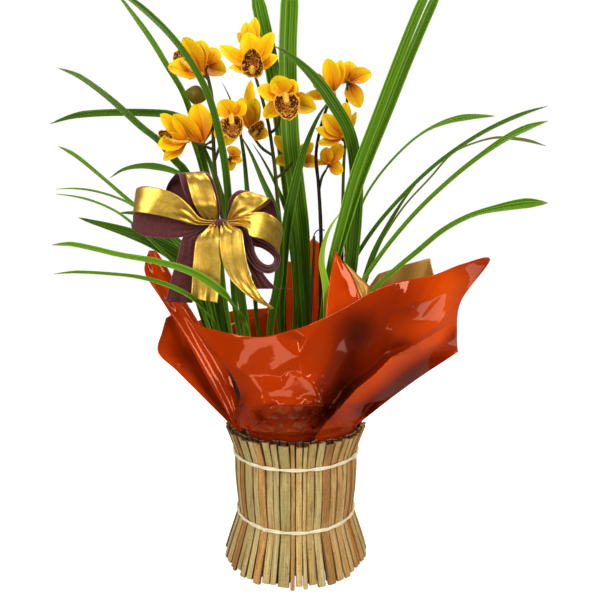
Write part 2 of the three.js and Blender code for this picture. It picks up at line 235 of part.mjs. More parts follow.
// a blade along a curve: lens section, folded along its middle, width direction kept square to `face`
function blade(points, width, face, thick, profile, samples, fold, grow = 0) {
  const curve = new THREE.CatmullRomCurve3(points.map(V), false, 'centripetal');
  const f = V(face).normalize();
  const rings = [];
  let last = null;
  for (let i = 0; i <= samples; i++) {
    const u = i / samples;
    let c = curve.getPointAt(u);
    const t = curve.getTangentAt(u);
    if (grow && i === 0) c = c.clone().addScaledVector(t, -grow);
    if (grow && i === samples) c = c.clone().addScaledVector(t, grow);
    const n = f.clone().addScaledVector(t, -f.dot(t));
    if (n.length() < 0.15 && last) n.copy(last);
    n.normalize();
    last = n.clone();
    const w = new THREE.Vector3().crossVectors(t, n).normalize();
    const hw = Math.max(0.35, width * 0.5 * profile(u)) + grow * 1.5;
    const ht = thick * 0.5 * (0.55 + 0.45 * profile(u)) + grow * 1.25;
    const d = fold * hw;
    rings.push([
      c.clone().addScaledVector(w, hw).addScaledVector(n, d),
      c.clone().addScaledVector(n, ht - grow * 0),
      c.clone().addScaledVector(w, -hw).addScaledVector(n, d),
      c.clone().addScaledVector(n, -ht),
    ]);
  }
  return loft(rings);
}
const strap = (u) => (u < 0.3 ? 0.55 + 0.45 * Math.sin((u / 0.3) * Math.PI / 2) : u < 0.72 ? 1 : Math.pow(Math.max(0, (1 - u) / 0.28), 0.72));
const petal = (u) => Math.pow(Math.sin(Math.PI * (0.05 + u * 0.915)), 0.8);

function tube(points, r0, r1, sides, samples, grow = 0) {
  const curve = new THREE.CatmullRomCurve3(points.map(V), false, 'centripetal');
  const rings = [];
  const ref = new THREE.Vector3(0.3, 1, 0.1).normalize();
  for (let i = 0; i <= samples; i++) {
    const u = i / samples;
    const t = curve.getTangentAt(u);
    let c = curve.getPointAt(u);
    if (grow && i === 0) c = c.clone().addScaledVector(t, -grow);
    if (grow && i === samples) c = c.clone().addScaledVector(t, grow);
    const a = ref.clone().addScaledVector(t, -ref.dot(t)).normalize();
    const b = new THREE.Vector3().crossVectors(t, a);
    const r = r0 + (r1 - r0) * u + grow * 1.2;
    const ring = [];
    for (let k = 0; k < sides; k++) {
      const q = (k / sides) * 2 * Math.PI;
      ring.push(c.clone().addScaledVector(a, r * Math.cos(q)).addScaledVector(b, r * Math.sin(q)));
    }
    rings.push(ring);
  }
  return loft(rings);
}

// a sheet of constant thickness over a grid of points (columns of points), both faces split along the same diagonals
function sheet(cols, thick, grow = 0) {
  const nx = cols.length - 1, ny = cols[0].length - 1;
  const P = cols.map((c) => c.map((p) => (p.isVector3 ? p : V(p))));
  const h = thick / 2 + grow;
  const at = (i, j, s) => (i * (ny + 1) + j) * 2 + s;
  const verts = [];
  for (let i = 0; i <= nx; i++)
    for (let j = 0; j <= ny; j++) {
      const ii = Math.min(nx, i + 1), im = Math.max(0, i - 1), jj = Math.min(ny, j + 1), jm = Math.max(0, j - 1);
      const a = P[ii][j].clone().sub(P[im][j]), b = P[i][jj].clone().sub(P[i][jm]);
      const N = a.clone().cross(b).normalize();
      const q = P[i][j].clone();
      if (grow && (i === 0 || i === nx)) q.addScaledVector(a.normalize(), (i === 0 ? -1 : 1) * grow);
      if (grow && (j === 0 || j === ny)) q.addScaledVector(b.normalize(), (j === 0 ? -1 : 1) * grow);
      verts.push(q.clone().addScaledVector(N, h), q.clone().addScaledVector(N, -h));
    }
  const tris = [];
  for (let i = 0; i < nx; i++)
    for (let j = 0; j < ny; j++) {
      // the shorter diagonal of each quad
      const across = P[i][j].distanceTo(P[i + 1][j + 1]) <= P[i + 1][j].distanceTo(P[i][j + 1]);
      for (const s of [0, 1]) {
        const a = at(i, j, s), b = at(i + 1, j, s), c = at(i + 1, j + 1, s), d = at(i, j + 1, s);
        const two = across ? [[a, b, c], [a, c, d]] : [[a, b, d], [b, c, d]];
        for (const [x, y, z] of two) tris.push(s ? [x, z, y] : [x, y, z]);
      }
    }
  for (let i = 0; i < nx; i++)
    for (const j of [0, ny]) {
      const a = at(i, j, 0), b = at(i + 1, j, 0), c = at(i + 1, j, 1), d = at(i, j, 1);
      tris.push(...(j ? [[a, b, c], [a, c, d]] : [[a, c, b], [a, d, c]]));
    }
  for (let j = 0; j < ny; j++)
    for (const i of [0, nx]) {
      const a = at(i, j, 0), b = at(i, j + 1, 0), c = at(i, j + 1, 1), d = at(i, j, 1);
      tris.push(...(i ? [[a, c, b], [a, d, c]] : [[a, b, c], [a, c, d]]));
    }
  return shell(verts, tris);
}

function largest(man) {
  const parts = man.decompose();
  let best = parts[0];
  for (const p of parts) if (p.volume() > best.volume()) best = p;
  return best;
}
const union = (list) => list.reduce((a, b) => a.add(b));

const placed = []; // {name, grown, box}
const overlapBox = (a, b) => a.min[0] < b.max[0] && b.min[0] < a.max[0] && a.min[1] < b.max[1] && b.min[1] < a.max[1] && a.min[2] < b.max[2] && b.min[2] < a.max[2];
function place(name, body, grown, colour, rough, metal = 0) {
  const v0 = body.volume();
  let s = body;
  for (const q of placed) {
    if (overlapBox(s.boundingBox(), q.box) && s.intersect(q.grown).volume() > 1e-5) { const v = s.volume(); s = s.subtract(q.grown); if (globalThis.TRACE) console.log(name, 'cut by', q.name, (s.volume() / v).toFixed(3)); }
  }
  s = largest(s);
  const g = grown ?? body;
  placed.push({ name, grown: g, box: g.boundingBox() });
  const mesh = new THREE.Mesh(toGeometry(s), new THREE.MeshStandardMaterial({ color: colour, roughness: rough, metalness: metal }));
  mesh.name = name;
  mesh.userData.kept = s.volume() / v0;
  group.add(mesh);
  return s;
}

// ---- base disc ----
{
  const make = (g) => {
    const geo = new THREE.CylinderGeometry(DISC_R + g, DISC_R + g, DISC_T + 2 * g, 48, 1);
    geo.rotateX(Math.PI / 2);
    geo.translate(0, 0, DISC_T / 2);
    return solid(geo);
  };
  place('base_disc', make(0), make(GAP), 0xb08a5a, 0.8);
}

// ---- reed slats, in bundles that touch side by side at the waist ----
const slatRand = (k) => { const x = Math.sin(k * 127.1 + 11.7) * 43758.5453; return x - Math.floor(x); };
const LEVELS = [ // height, outside radius, share of the pitch left open on each side of a slat
  [0, FOOT_R, 0.1], [LOWER_CORD_Z, WAIST_R, 0.07], [UPPER_CORD_Z, CHEST_R, 0.075], [TOP_Z, TOP_R, 0.09],
];
function bundle(first, count, grow) {
  // outline in slat units: two outer corners to each slat, a shallow groove between neighbours, one inner point to each joint
  const out = [];
  for (let i = 0; i < count; i++) {
    out.push({ s: i, k: i, q: 0, e: 1 }, { s: i + 1, k: i, q: 0, e: -1 });
    if (i < count - 1) out.push({ s: i + 1, k: i, q: 0.34, e: 0 });
  }
  for (let i = count; i >= 0; i--) out.push({ s: i, k: i, q: 1, e: 0 });
  const N = out.length;
  const verts = [], tris = [];
  LEVELS.forEach(([z, r, open], level) => {
    for (const o of out) {
      const jitter = o.q < 0.1 ? slatRand(first + o.k) : 0.5;
      const rr = r - o.q * SLAT_T + (o.q < 0.1 && level !== 1 && level !== 2 ? (jitter - 0.5) * 1.4 : 0) + grow * (o.q > 0.9 ? -1 : o.q < 0.1 ? 1 : 0);
      const side = o.s === 0 ? -1 : o.s === count ? 1 : 0;
      const a = ((first + o.s + (side ? 0 : o.e * open)) / SLATS) * 2 * Math.PI + (side * (grow - GAP / 2 - 0.01)) / r;
      verts.push(rr * Math.cos(a), rr * Math.sin(a), z + (level === 3 ? -4.5 * jitter + 2 + grow : 0) - (level === 0 ? grow : 0));
    }
  });
  const at = (level, k) => level * N + ((k + N) % N);
  for (let level = 0; level < LEVELS.length - 1; level++)
    for (let k = 0; k < N; k++) tris.push(at(level, k), at(level, k + 1), at(level + 1, k + 1), at(level, k), at(level + 1, k + 1), at(level + 1, k));
  const inner = (i) => 3 * count - 1 + (count - i);
  const top = LEVELS.length - 1;
  for (let i = 0; i < count; i++) {
    const ring = [3 * i, 3 * i + 1];
    if (i < count - 1) ring.push(3 * i + 2);
    ring.push(inner(i + 1), inner(i));
    if (i > 0) ring.push(3 * i - 1);
    for (let c = 1; c < ring.length - 1; c++) tris.push(at(top, ring[0]), at(top, ring[c]), at(top, ring[c + 1]), at(0, ring[0]), at(0, ring[c + 1]), at(0, ring[c]));
  }
  const g = new THREE.BufferGeometry();
  g.setAttribute('position', new THREE.Float32BufferAttribute(verts, 3));
  g.setIndex(tris);
  return solid(g);
}
{
  const per = SLATS / BUNDLES;
  const tones = [0xc9a873, 0xbf9a62, 0xd0b07c, 0xb98f58];
  for (let b = 0; b < BUNDLES; b++) place('slat_bundle_' + (b + 1), bundle(b * per, per, 0), bundle(b * per, per, GAP), tones[b], 0.85);
}

// ---- raffia cords round the holder ----
for (const [name, z, r] of [['raffia_cord_lower', LOWER_CORD_Z, WAIST_R], ['raffia_cord_upper', UPPER_CORD_Z, CHEST_R]]) {
  const make = (g) => {
    const geo = new THREE.TorusGeometry(r + 0.6 + GAP + CORD_R, CORD_R + g, 6, 36);
    geo.translate(0, 0, z);
    return solid(geo);
  };
  place(name, make(0), make(GAP), 0xe9dcb8, 0.8);
}

// ---- nursery pot and potting bark ----
{
  const lathe = (pts, seg) => { const geo = new THREE.LatheGeometry(pts.map((p) => new THREE.Vector2(p[0], p[1])), seg); geo.rotateX(Math.PI / 2); return solid(geo); };
  const wall = [[0, POT_Z0], [POT_BASE_R, POT_Z0], [POT_TOP_R - 1.5, POT_Z1 - 12], [POT_TOP_R, POT_Z1 - 12], [POT_TOP_R, POT_Z1], [POT_TOP_R - 2.4, POT_Z1],
    [POT_TOP_R - 2.6 - POT_WALL, POT_Z1 - 11], [POT_BASE_R - POT_WALL, POT_Z0 + POT_WALL], [0, POT_Z0 + POT_WALL]];
  let pot = lathe(wall, 30);
  if (pot.volume() < 0) pot = lathe([...wall].reverse(), 30);
  place('nursery_pot', pot, null, 0x2b2a28, 0.5);
  const rb = POT_BASE_R - POT_WALL - GAP - 0.4, rt = POT_TOP_R - 2.6 - POT_WALL - GAP - 1.6;
  const geo = new THREE.CylinderGeometry(rt, rb, BARK_Z - POT_Z0 - POT_WALL - 0.5, 20, 3);
  geo.rotateX(Math.PI / 2);
  geo.translate(0, 0, (BARK_Z + POT_Z0 + POT_WALL + 0.5) / 2);
  const bark = solid(geo);
  const geg = new THREE.CylinderGeometry(rt, rb, BARK_Z - POT_Z0 - POT_WALL, 20, 1);
  geg.rotateX(Math.PI / 2);
  geg.translate(0, 0, (BARK_Z + POT_Z0 + POT_WALL) / 2 + 0.3);
  place('potting_bark', bark, solid(geg), 0x5a3b22, 0.95);
}

// ---- pseudobulbs ----
{
  const bulbs = [['pseudobulb_left', -44, -3, 15, 56], ['pseudobulb_middle', -8, 14, 14.5, 60], ['pseudobulb_right', 36, 3, 14, 54]];
  for (const [name, x, y, r, h] of bulbs) {
    const make = (g) => {
      const pts = [];
      for (let i = 0; i <= 8; i++) { const u = i / 8; pts.push([i === 0 || i === 8 ? 0 : (r + g) * Math.pow(Math.sin(Math.PI * (0.12 + 0.86 * u)), 0.7), -g + (h + 2 * g) * u]); }
      const geo = new THREE.LatheGeometry(pts.map((p) => new THREE.Vector2(p[0], p[1])), 10);
      geo.rotateX(Math.PI / 2);
      geo.scale(1, 0.8, 1);
      geo.translate(x, y, BARK_Z + 1);
      let s = solid(geo);
      return s;
    };
    place(name, make(0), make(GAP), 0x8aa04a, 0.55);
  }
}

// ---- flower spikes, stakes ----
const tubes = (list, grow) => union(list.map((t) => tube(t.p, t.r[0], t.r[1], 5, Math.max(2, Math.round(t.p.length * 1.3)), grow)));
for (const [name, list] of Object.entries(LAYOUT.stakes)) place(name, tubes(list, 0), tubes(list, GAP), 0x4a3424, 0.8);
for (const [name, list] of Object.entries(LAYOUT.spikes)) {
  let s = tubes(list, 0), g = tubes(list, GAP);
  place(name, s, g, 0x4d5a26, 0.6);
}
{
  const a = V(LAYOUT.bud.a), b = V(LAYOUT.bud.b);
  const d = b.clone().sub(a), L = d.length();
  const make = (g) => {
    const pts = [];
    for (let i = 0; i <= 6; i++) { const u = i / 6; pts.push([i === 0 || i === 6 ? 0 : (LAYOUT.bud.r + g) * Math.sin(Math.PI * (0.06 + 0.88 * u)), -g + (L + 2 * g) * u]); }
    const geo = new THREE.LatheGeometry(pts.map((p) => new THREE.Vector2(p[0], p[1])), 8);
    geo.applyQuaternion(new THREE.Quaternion().setFromUnitVectors(new THREE.Vector3(0, 1, 0), d.clone().normalize()));
    geo.translate(a.x, a.y, a.z);
    return solid(geo);
  };
  place('flower_bud', make(0), make(GAP), 0x7d6a2a, 0.55);
}

// ---- flowers: tepals, lip and column of one flower are one piece ----
for (const [name, fl] of Object.entries(LAYOUT.flowers)) {
  const c = V(fl.c), f = V(fl.f);
  const make = (g) => {
    const list = [];
    const core = new THREE.SphereGeometry(3.4 + g, 5, 3);
    core.translate(c.x, c.y, c.z);
    list.push(solid(core));
    for (const t of fl.t) {
      const tip = V(t);
      const mid = c.clone().lerp(tip, 0.5).addScaledVector(f, -1.5).add(new THREE.Vector3(0, 0, 0));
      list.push(blade([c.toArray(), mid.toArray(), tip.toArray()], t[3], [f.x * 0.4, -0.9, f.z * 0.4 + 0.15], 2.0, petal, 3, 0.12, g));
    }
    if (fl.lip) {
      const tip = V(fl.lip);
      const mid = c.clone().lerp(tip, 0.45).addScaledVector(f, 6);
      list.push(blade([c.toArray(), mid.toArray(), tip.toArray()], 19, [f.x * 0.5, -0.9, f.z + 0.6], 3.0, petal, 3, 0.3, g));
      const end = c.clone().addScaledVector(f, 11).add(new THREE.Vector3(0, 0, 4));
      list.push(tube([c.toArray(), end.toArray()], 3.0, 2.6, 4, 1, g));
    }
    return union(list);
  };
  place(name, make(0), make(GAP), 0xf2b01e, 0.55);
}

// ---- ribbons of the bow ----
{
  const strip = (st, grow) => sheet(st.map((s) => [[s[0], s[1], s[2]], [s[3], s[4], s[5]]]), RIBBON_T, grow);
  const bow = (strips, knot, r, grow) => {
    const core = new THREE.SphereGeometry(r + grow, 8, 6);
    core.translate(knot[0], knot[1], knot[2]);
    return union([solid(core), ...strips.map((s) => strip(s, grow))]);
  };
  place('bow_gold_ribbon', bow(LAYOUT.gold, LAYOUT.knot, 8.5, 0), bow(LAYOUT.gold, LAYOUT.knot, 8.5, GAP), 0xd9a92e, 0.3, 0.3);
  place('bow_maroon_ribbon', bow(LAYOUT.maroon, LAYOUT.knot2, 9.5, 0), bow(LAYOUT.maroon, LAYOUT.knot2, 9.5, GAP), 0x6a2f35, 0.7);
}

// ---- film wrap: two sheets, tucked between the pot and the slats ----
{
  const A = LAYOUT.film_back, B = LAYOUT.film_front;
  const film = (cols, g) => sheet(cols, FILM_T, g);
  place('film_wrap_front', film(B, 0), film(B, GAP), 0xc23e0e, 0.2);
  place('film_wrap_back', film(A, 0), film(A, GAP), 0xb8380c, 0.2);
}

// ---- leaves ----
{
  for (const [name, list] of Object.entries(LAYOUT.leaves)) {
    const make = (g) => union(list.map((l) => blade(l.p, l.w, l.n, 1.5, strap, 9, 0.28, g)));
    place(name, make(0), make(GAP), 0x3f7d1c, 0.45);
  }
}

export default group;
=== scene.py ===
import math
import random

import bpy
from mathutils import Matrix, Vector, noise


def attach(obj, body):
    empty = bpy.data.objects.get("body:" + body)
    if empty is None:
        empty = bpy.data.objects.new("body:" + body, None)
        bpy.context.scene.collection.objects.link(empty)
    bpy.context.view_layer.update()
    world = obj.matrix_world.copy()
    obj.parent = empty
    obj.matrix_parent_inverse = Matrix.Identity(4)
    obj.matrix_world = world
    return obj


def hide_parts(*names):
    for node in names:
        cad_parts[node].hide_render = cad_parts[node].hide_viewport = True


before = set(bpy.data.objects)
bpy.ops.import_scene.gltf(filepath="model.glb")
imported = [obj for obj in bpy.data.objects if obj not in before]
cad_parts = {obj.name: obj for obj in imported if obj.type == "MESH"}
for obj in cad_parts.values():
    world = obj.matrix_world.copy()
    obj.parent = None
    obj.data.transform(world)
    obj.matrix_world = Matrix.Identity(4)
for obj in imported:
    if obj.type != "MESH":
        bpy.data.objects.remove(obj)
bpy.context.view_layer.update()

# ---------------------------------------------------------------- camera
sc = bpy.context.scene
cam_data = bpy.data.cameras.new("cam")
cam_data.lens = 28.5
cam_data.sensor_width = 36.0
cam_data.clip_start = 0.02
cam_data.clip_end = 30
cam = bpy.data.objects.new("cam", cam_data)
cam.location = (0.00485, -0.557, 0.321)
cam.rotation_euler = (math.radians(87.3), 0, 0)
sc.collection.objects.link(cam)
sc.camera = cam
sc.view_settings.view_transform = "Standard"
sc.view_settings.look = "None"
sc.view_settings.exposure = 0.0
sc.view_settings.gamma = 1.0

# ---------------------------------------------------------------- layout, in millimetres
LAY = {
    "leaves": {
        "leaf_left_tall": [{"p": [[-24.0, -26.0, 150.0], [-64.2, -30, 262.7], [-70.8, -34, 362.1], [-75.2, -44, 435.7], [-81.3, -50, 473.9], [-90.9, -53, 508.8], [-105.0, -54, 536.9], [-124.9, -52, 565.2], [-150.6, -48, 592.6], [-181.9, -44, 618.3], [-214.8, -40, 634.9]], "w": 7.8, "n": [0.314, -0.896, 0.314]}],
        "leaf_left_arc_thin": [{"p": [[-41.0, -27.0, 150.0], [-74.9, -18, 261.4], [-96.3, -6, 410.1], [-121.2, -3, 509.5], [-130.1, -3, 533.1], [-146.9, -3, 561.1], [-163.6, -3, 588.9], [-194.4, -1, 632.1], [-213.7, 0, 657.0]], "w": 6.8, "n": [0.421, -0.842, 0.337]}],
        "leaf_left_high": [{"p": [[-59.0, 4.0, 150.0], [-87.7, 4, 258.9], [-105.1, 2, 382.4], [-131.9, 0, 445.6], [-139.7, -1, 453.3], [-155.0, -3, 473.3], [-175.6, -6, 489.4], [-212.2, -10, 522.1], [-243.7, -14, 544.2], [-264.9, -16, 554.4]], "w": 11.1, "n": [0.185, -0.74, 0.647]}, {"p": [[-59.0, 4.0, 150.0], [-100.8, 24, 256.7], [-135.8, 30, 330.4], [-170.5, 33, 382.2], [-191.5, 34, 398.2], [-208.3, 36, 401.0], [-222.7, 38, 400.6]], "w": 8.6, "n": [0.0, -0.6, 0.8]}],
        "leaf_left_dark": [{"p": [[-52.0, 23.0, 150.0], [-87.6, 34, 255.6], [-101.7, 36, 398.5], [-120.7, 36, 480.4], [-135.2, 36, 510.7], [-153.2, 35, 518.8], [-171.3, 34, 520.3], [-219.9, 30, 519.5], [-264.6, 24, 513.9], [-293.9, 20, 504.4]], "w": 10.5, "n": [0.1, -0.796, 0.597]}],
        "leaf_left_mid": [{"p": [[-60.0, -11.0, 150.0], [-90.3, -8, 260.3], [-115.5, -6, 339.0], [-157.7, -2, 380.9], [-190.1, 2, 405.6], [-225.0, 6, 435.3], [-259.1, 10, 462.9], [-281.0, 12, 476.3]], "w": 5.7, "n": [0.198, -0.693, 0.693]}, {"p": [[-60.0, -11.0, 150.0], [-92.3, -10, 258.1], [-118.8, -12, 336.6], [-165.5, -14, 386.3], [-188.3, -16, 404.0], [-219.1, -20, 415.6], [-244.0, -24, 419.3], [-265.2, -26, 419.0]], "w": 5.1, "n": [0.196, -0.588, 0.784]}, {"p": [[-60.0, -11.0, 150.0], [-92.9, -32, 256.2], [-114.4, -42, 314.1], [-156.4, -44, 361.4], [-175.4, -44, 378.4], [-191.3, -44, 390.2], [-214.5, -42, 401.1], [-237.8, -40, 407.8], [-259.3, -38, 411.4]], "w": 4.4, "n": [0.0, -0.6, 0.8]}],
        "leaf_left_broad": [{"p": [[-59.0, 14.0, 152.0], [-99.0, 14, 255.4], [-115.0, 12, 306.2], [-135.1, 8, 339.5], [-159.2, 2, 356.8], [-190.1, -6, 370.7], [-216.7, -14, 379.6], [-231.9, -18, 384.2], [-243.4, -22, 388.1]], "w": 16.1, "n": [0.1, -0.752, 0.652]}],
        "leaf_left_bright": [{"p": [[-33.0, -38.0, 150.0], [-53.2, -58, 265.8], [-58.0, -84, 285.7], [-69.9, -108, 306.4], [-94.3, -112, 323.4], [-126.6, -110, 333.8], [-165.9, -100, 340.7], [-198.0, -92, 347.9], [-222.2, -86, 352.2], [-241.0, -84, 353.3]], "w": 9.3, "n": [0.0, -0.655, 0.756]}],
        "leaf_left_lowest": [{"p": [[-55.0, -24.0, 150.0], [-81.7, -52, 258.7], [-84.9, -74, 275.8], [-91.1, -93, 291.3], [-103.9, -104, 304.4], [-126.1, -106, 314.9], [-150.5, -101, 320.6], [-177.8, -95, 323.5], [-216.0, -88, 325.5], [-239.2, -85, 324.6]], "w": 5.9, "n": [0.0, -0.655, 0.756]}],
        "leaf_left_back": [{"p": [[-44.0, 36.0, 150.0], [-93.7, 56, 250.6], [-126.5, 66, 291.6], [-153.3, 70, 328.4], [-166.7, 72, 352.1], [-177.0, 72, 370.5]], "w": 9.8, "n": [0.199, -0.896, 0.398]}, {"p": [[-44.0, 36.0, 150.0], [-83.5, 40, 254.9], [-101.6, 48, 374.9], [-125.4, 50, 438.0], [-151.1, 52, 453.4], [-172.5, 52, 459.7], [-196.6, 52, 461.6], [-219.4, 52, 457.2], [-235.3, 50, 446.8]], "w": 5.7, "n": [0.101, -0.704, 0.704]}],
        "leaf_centre_behind": [{"p": [[-6.0, 44.0, 150.0], [-0.3, 52, 253.6], [1.0, 48, 311.6], [-2.7, 45, 368.4], [-7.7, 43, 418.1], [-15.0, 40, 479.0], [-22.1, 36, 532.4], [-33.9, 32, 596.4], [-45.6, 30, 648.3], [-51.5, 30, 682.1]], "w": 16.6, "n": [0.148, -0.984, 0.098]}],
        "leaf_centre_tall": [{"p": [[12.0, 30.0, 150.0], [14.7, 28, 256.3], [10.3, 24, 332.7], [6.7, 22, 378.6], [1.8, 20, 417.9], [-6.5, 17, 484.7], [-9.3, 15, 579.2], [-6.8, 14, 645.0], [-6.8, 14, 688.1]], "w": 19.9, "n": [-0.099, -0.994, 0.05]}],
        "leaf_centre_arch": [{"p": [[50.0, -18.0, 150.0], [54.7, -21, 261.7], [60.8, -24, 338.4], [64.4, -25, 382.8], [65.7, -26, 417.9], [63.1, -28, 452.3], [54.5, -36, 480.2], [39.9, -44, 501.8], [23.7, -50, 522.3], [4.8, -54, 541.0], [-11.6, -56, 553.2], [-22.4, -57, 559.3]], "w": 16.8, "n": [0.279, -0.931, 0.233]}],
        "leaf_centre_cross": [{"p": [[2.0, -8.0, 152.0], [-16.1, -5, 259.9], [-13.6, -7, 335.5], [-9.5, -8, 377.9], [-3.1, -10, 412.9], [10.5, -12, 465.3], [25.1, -14, 500.2], [39.5, -16, 521.5]], "w": 12.8, "n": [-0.195, -0.976, 0.098]}, {"p": [[2.0, -8.0, 152.0], [4.8, 6, 258.7], [1.3, 4, 306.4], [-3.4, 2, 365.0], [-8.0, 1, 388.1], [-20.7, 0, 422.6], [-38.0, 0, 457.0], [-50.6, 0, 476.4]], "w": 7.5, "n": [0.282, -0.941, 0.188]}],
        "leaf_spike_dark": [{"p": [[-24.0, -16.0, 152.0], [-29.3, -18, 261.4], [-18.8, -22, 329.5], [-21.9, -24, 390.7], [-37.3, -24, 429.2], [-50.7, -22, 460.4], [-60.9, -20, 478.5]], "w": 10.2, "n": [0.195, -0.976, 0.098]}, {"p": [[-24.0, -16.0, 152.0], [-46.0, 16, 257.6], [-52.4, 12, 353.9], [-57.8, 10, 424.4], [-62.0, 8, 470.6], [-70.0, 8, 510.9], [-80.3, 8, 537.3], [-86.1, 8, 548.7]], "w": 6.3, "n": [0.195, -0.976, 0.098]}],
        "leaf_spike_left": [{"p": [[-38.0, -8.0, 152.0], [-57.8, -8, 260.3], [-66.5, -10, 318.2], [-76.4, -10, 375.4], [-90.8, -10, 432.1], [-103.5, -8, 466.3], [-113.9, -6, 489.4]], "w": 11.0, "n": [0.286, -0.953, 0.095]}],
        "leaf_right_twin": [{"p": [[28.0, -34.0, 150.0], [29.0, -38, 263.6], [38.5, -40, 331.4], [50.6, -42, 380.8], [63.1, -44, 427.3], [88.2, -47, 495.5], [107.2, -50, 545.8], [129.0, -52, 599.5], [144.8, -53, 633.0]], "w": 10.3, "n": [-0.327, -0.935, 0.14]}, {"p": [[30.0, -33.0, 150.0], [31.8, -36, 263.4], [42.5, -38, 331.5], [56.2, -40, 381.1], [71.1, -40, 428.1], [98.6, -42, 497.3], [117.9, -44, 546.4], [142.0, -46, 602.9], [155.9, -47, 632.7]], "w": 9.8, "n": [-0.147, -0.978, 0.147]}],
        "leaf_right_pale": [{"p": [[48.0, 26.0, 150.0], [52.0, 30, 256.1], [65.6, 34, 342.8], [80.4, 36, 408.3], [99.0, 38, 441.8], [134.2, 42, 482.0], [162.1, 45, 503.7], [191.5, 48, 516.4], [218.5, 50, 522.0], [250.7, 52, 524.5]], "w": 7.5, "n": [-0.198, -0.693, 0.693]}, {"p": [[48.0, 26.0, 150.0], [67.7, 38, 255.2], [87.9, 42, 328.0], [131.7, 50, 404.1], [171.9, 60, 448.8], [202.2, 64, 481.6], [227.2, 66, 493.6], [257.6, 68, 501.8], [283.2, 70, 501.1], [301.5, 70, 498.5], [325.0, 70, 492.1]], "w": 5.5, "n": [-0.198, -0.693, 0.693]}],
        "leaf_right_long": [{"p": [[52.0, -6.0, 150.0], [53.4, -10, 260.5], [62.1, -12, 329.7], [69.9, -13, 345.6], [92.0, -16, 379.3], [123.6, -20, 415.6], [155.3, -25, 445.4], [185.3, -30, 467.0], [215.1, -34, 484.0], [247.6, -38, 497.6], [268.9, -42, 503.5]], "w": 8.3, "n": [-0.252, -0.756, 0.605]}],
        "leaf_right_bright": [{"p": [[48.0, -29.0, 152.0], [57.3, -40, 263.8], [65.1, -46, 305.5], [75.5, -48, 321.6], [97.6, -54, 354.3], [125.8, -62, 388.8], [152.0, -70, 414.9], [178.1, -78, 437.0], [206.1, -86, 456.3], [225.5, -90, 465.6], [242.6, -94, 471.0]], "w": 8.8, "n": [-0.287, -0.766, 0.575]}],
        "leaf_right_low": [{"p": [[57.0, -17.0, 152.0], [64.9, -50, 262.8], [71.6, -62, 294.5], [81.0, -68, 308.2], [98.2, -74, 325.7], [120.9, -80, 345.6], [146.2, -88, 367.7], [172.2, -94, 381.5], [197.5, -98, 387.6], [220.5, -102, 390.8], [239.4, -104, 391.5]], "w": 9.5, "n": [-0.1, -0.752, 0.652]}],
        "leaf_right_upright": [{"p": [[54.0, 11.0, 152.0], [48.3, 14, 257.8], [57.7, 14, 312.1], [64.7, 14, 365.9], [70.5, 15, 407.6], [72.9, 16, 432.6]], "w": 7.7, "n": [0.0, -0.995, 0.1]}, {"p": [[54.0, 11.0, 152.0], [65.2, 14, 257.8], [79.7, 16, 306.1], [94.1, 18, 349.4], [113.5, 20, 388.0], [131.7, 22, 417.1], [148.3, 24, 437.8]], "w": 7.7, "n": [-0.199, -0.896, 0.398]}],
        "leaf_young": [{"p": [[26.0, -18.0, 154.0], [33.8, -50, 264.9], [32.3, -55, 310.0], [27.4, -57, 337.4], [31.0, -58, 360.3], [37.7, -59, 375.7], [46.4, -60, 388.0]], "w": 8.4, "n": [0.099, -0.99, 0.099]}],
    },
    "flowers": {
        "flower_left_top": {
            "c": [-101.88, -26, 543.07],
            "f": [-0.814, -0.458, 0.356],
            "t": [[-121.8, -30, 580.62, 16.8], [-110.76, -16, 583.72, 13.4], [-136.26, -38, 546.95, 19.0], [-123.17, -12, 553.88, 13.4]],
            "lip": [-132.22, -24, 565.92],
        },
        "flower_left_top_back": {
            "c": [-100.54, -8, 560.12],
            "f": [0.309, 0.928, 0.206],
            "t": [[-108.6, -2, 592.19, 13.9], [-88.39, -4, 581.22, 15.0], [-78.57, -10, 553.08, 17.3], [-95.62, 4, 572.02, 11.6], [-108.77, -6, 547.54, 11.6]],
        },
        "flower_centre_top": {
            "c": [-44.74, -28, 549.17],
            "f": [0.0, -0.8, 0.6],
            "t": [[-81.16, -32, 571.74, 14.5], [-70.52, -38, 545.91, 10.0], [-24.9, -30, 586.42, 14.5], [-19.36, -34, 559.75, 13.4], [-52.81, -22, 590.45, 18.9]],
            "lip": [-44.19, -44, 563.95],
        },
        "flower_centre_top_back": {
            "c": [-50.33, 2, 582.36],
            "f": [0.108, 0.647, 0.755],
            "t": [[-57.28, 4, 614.77, 12.9], [-47.09, 6, 621.44, 10.6], [-66.81, 6, 604.56, 8.2], [-44.05, 10, 604.3, 9.4]],
        },
        "flower_centre_front": {
            "c": [-11.77, -38, 512.85],
            "f": [0.099, -0.99, 0.099],
            "t": [[-20.39, -36, 537.84, 18.6], [-1.61, -35, 534.04, 16.4], [21.99, -39, 501.97, 17.5], [-40.5, -40, 523.11, 15.3], [-33.68, -40, 492.68, 14.2]],
            "lip": [-6.15, -51, 483.88],
        },
        "flower_left_front": {
            "c": [-67.7, -34, 492.54],
            "f": [-0.05, -0.994, 0.099],
            "t": [[-81.62, -34, 512.21, 17.6], [-56.03, -31, 512.77, 14.3], [-87.0, -36, 472.76, 13.2], [-74.87, -38, 463.69, 14.3]],
            "lip": [-64.57, -47, 464.86],
        },
        "flower_left_side": {
            "c": [-50.24, -20, 485.1],
            "f": [0.808, -0.577, 0.115],
            "t": [[-59.69, -23, 519.48, 15.8], [-44.51, -14, 522.27, 14.7], [-30.65, -22, 479.02, 14.7], [-51.04, -4, 546.13, 10.2]],
            "lip": [-36.77, -28, 494.51],
        },
        "flower_far_left": {
            "c": [-118.07, -28, 471.85],
            "f": [-0.909, -0.404, -0.101],
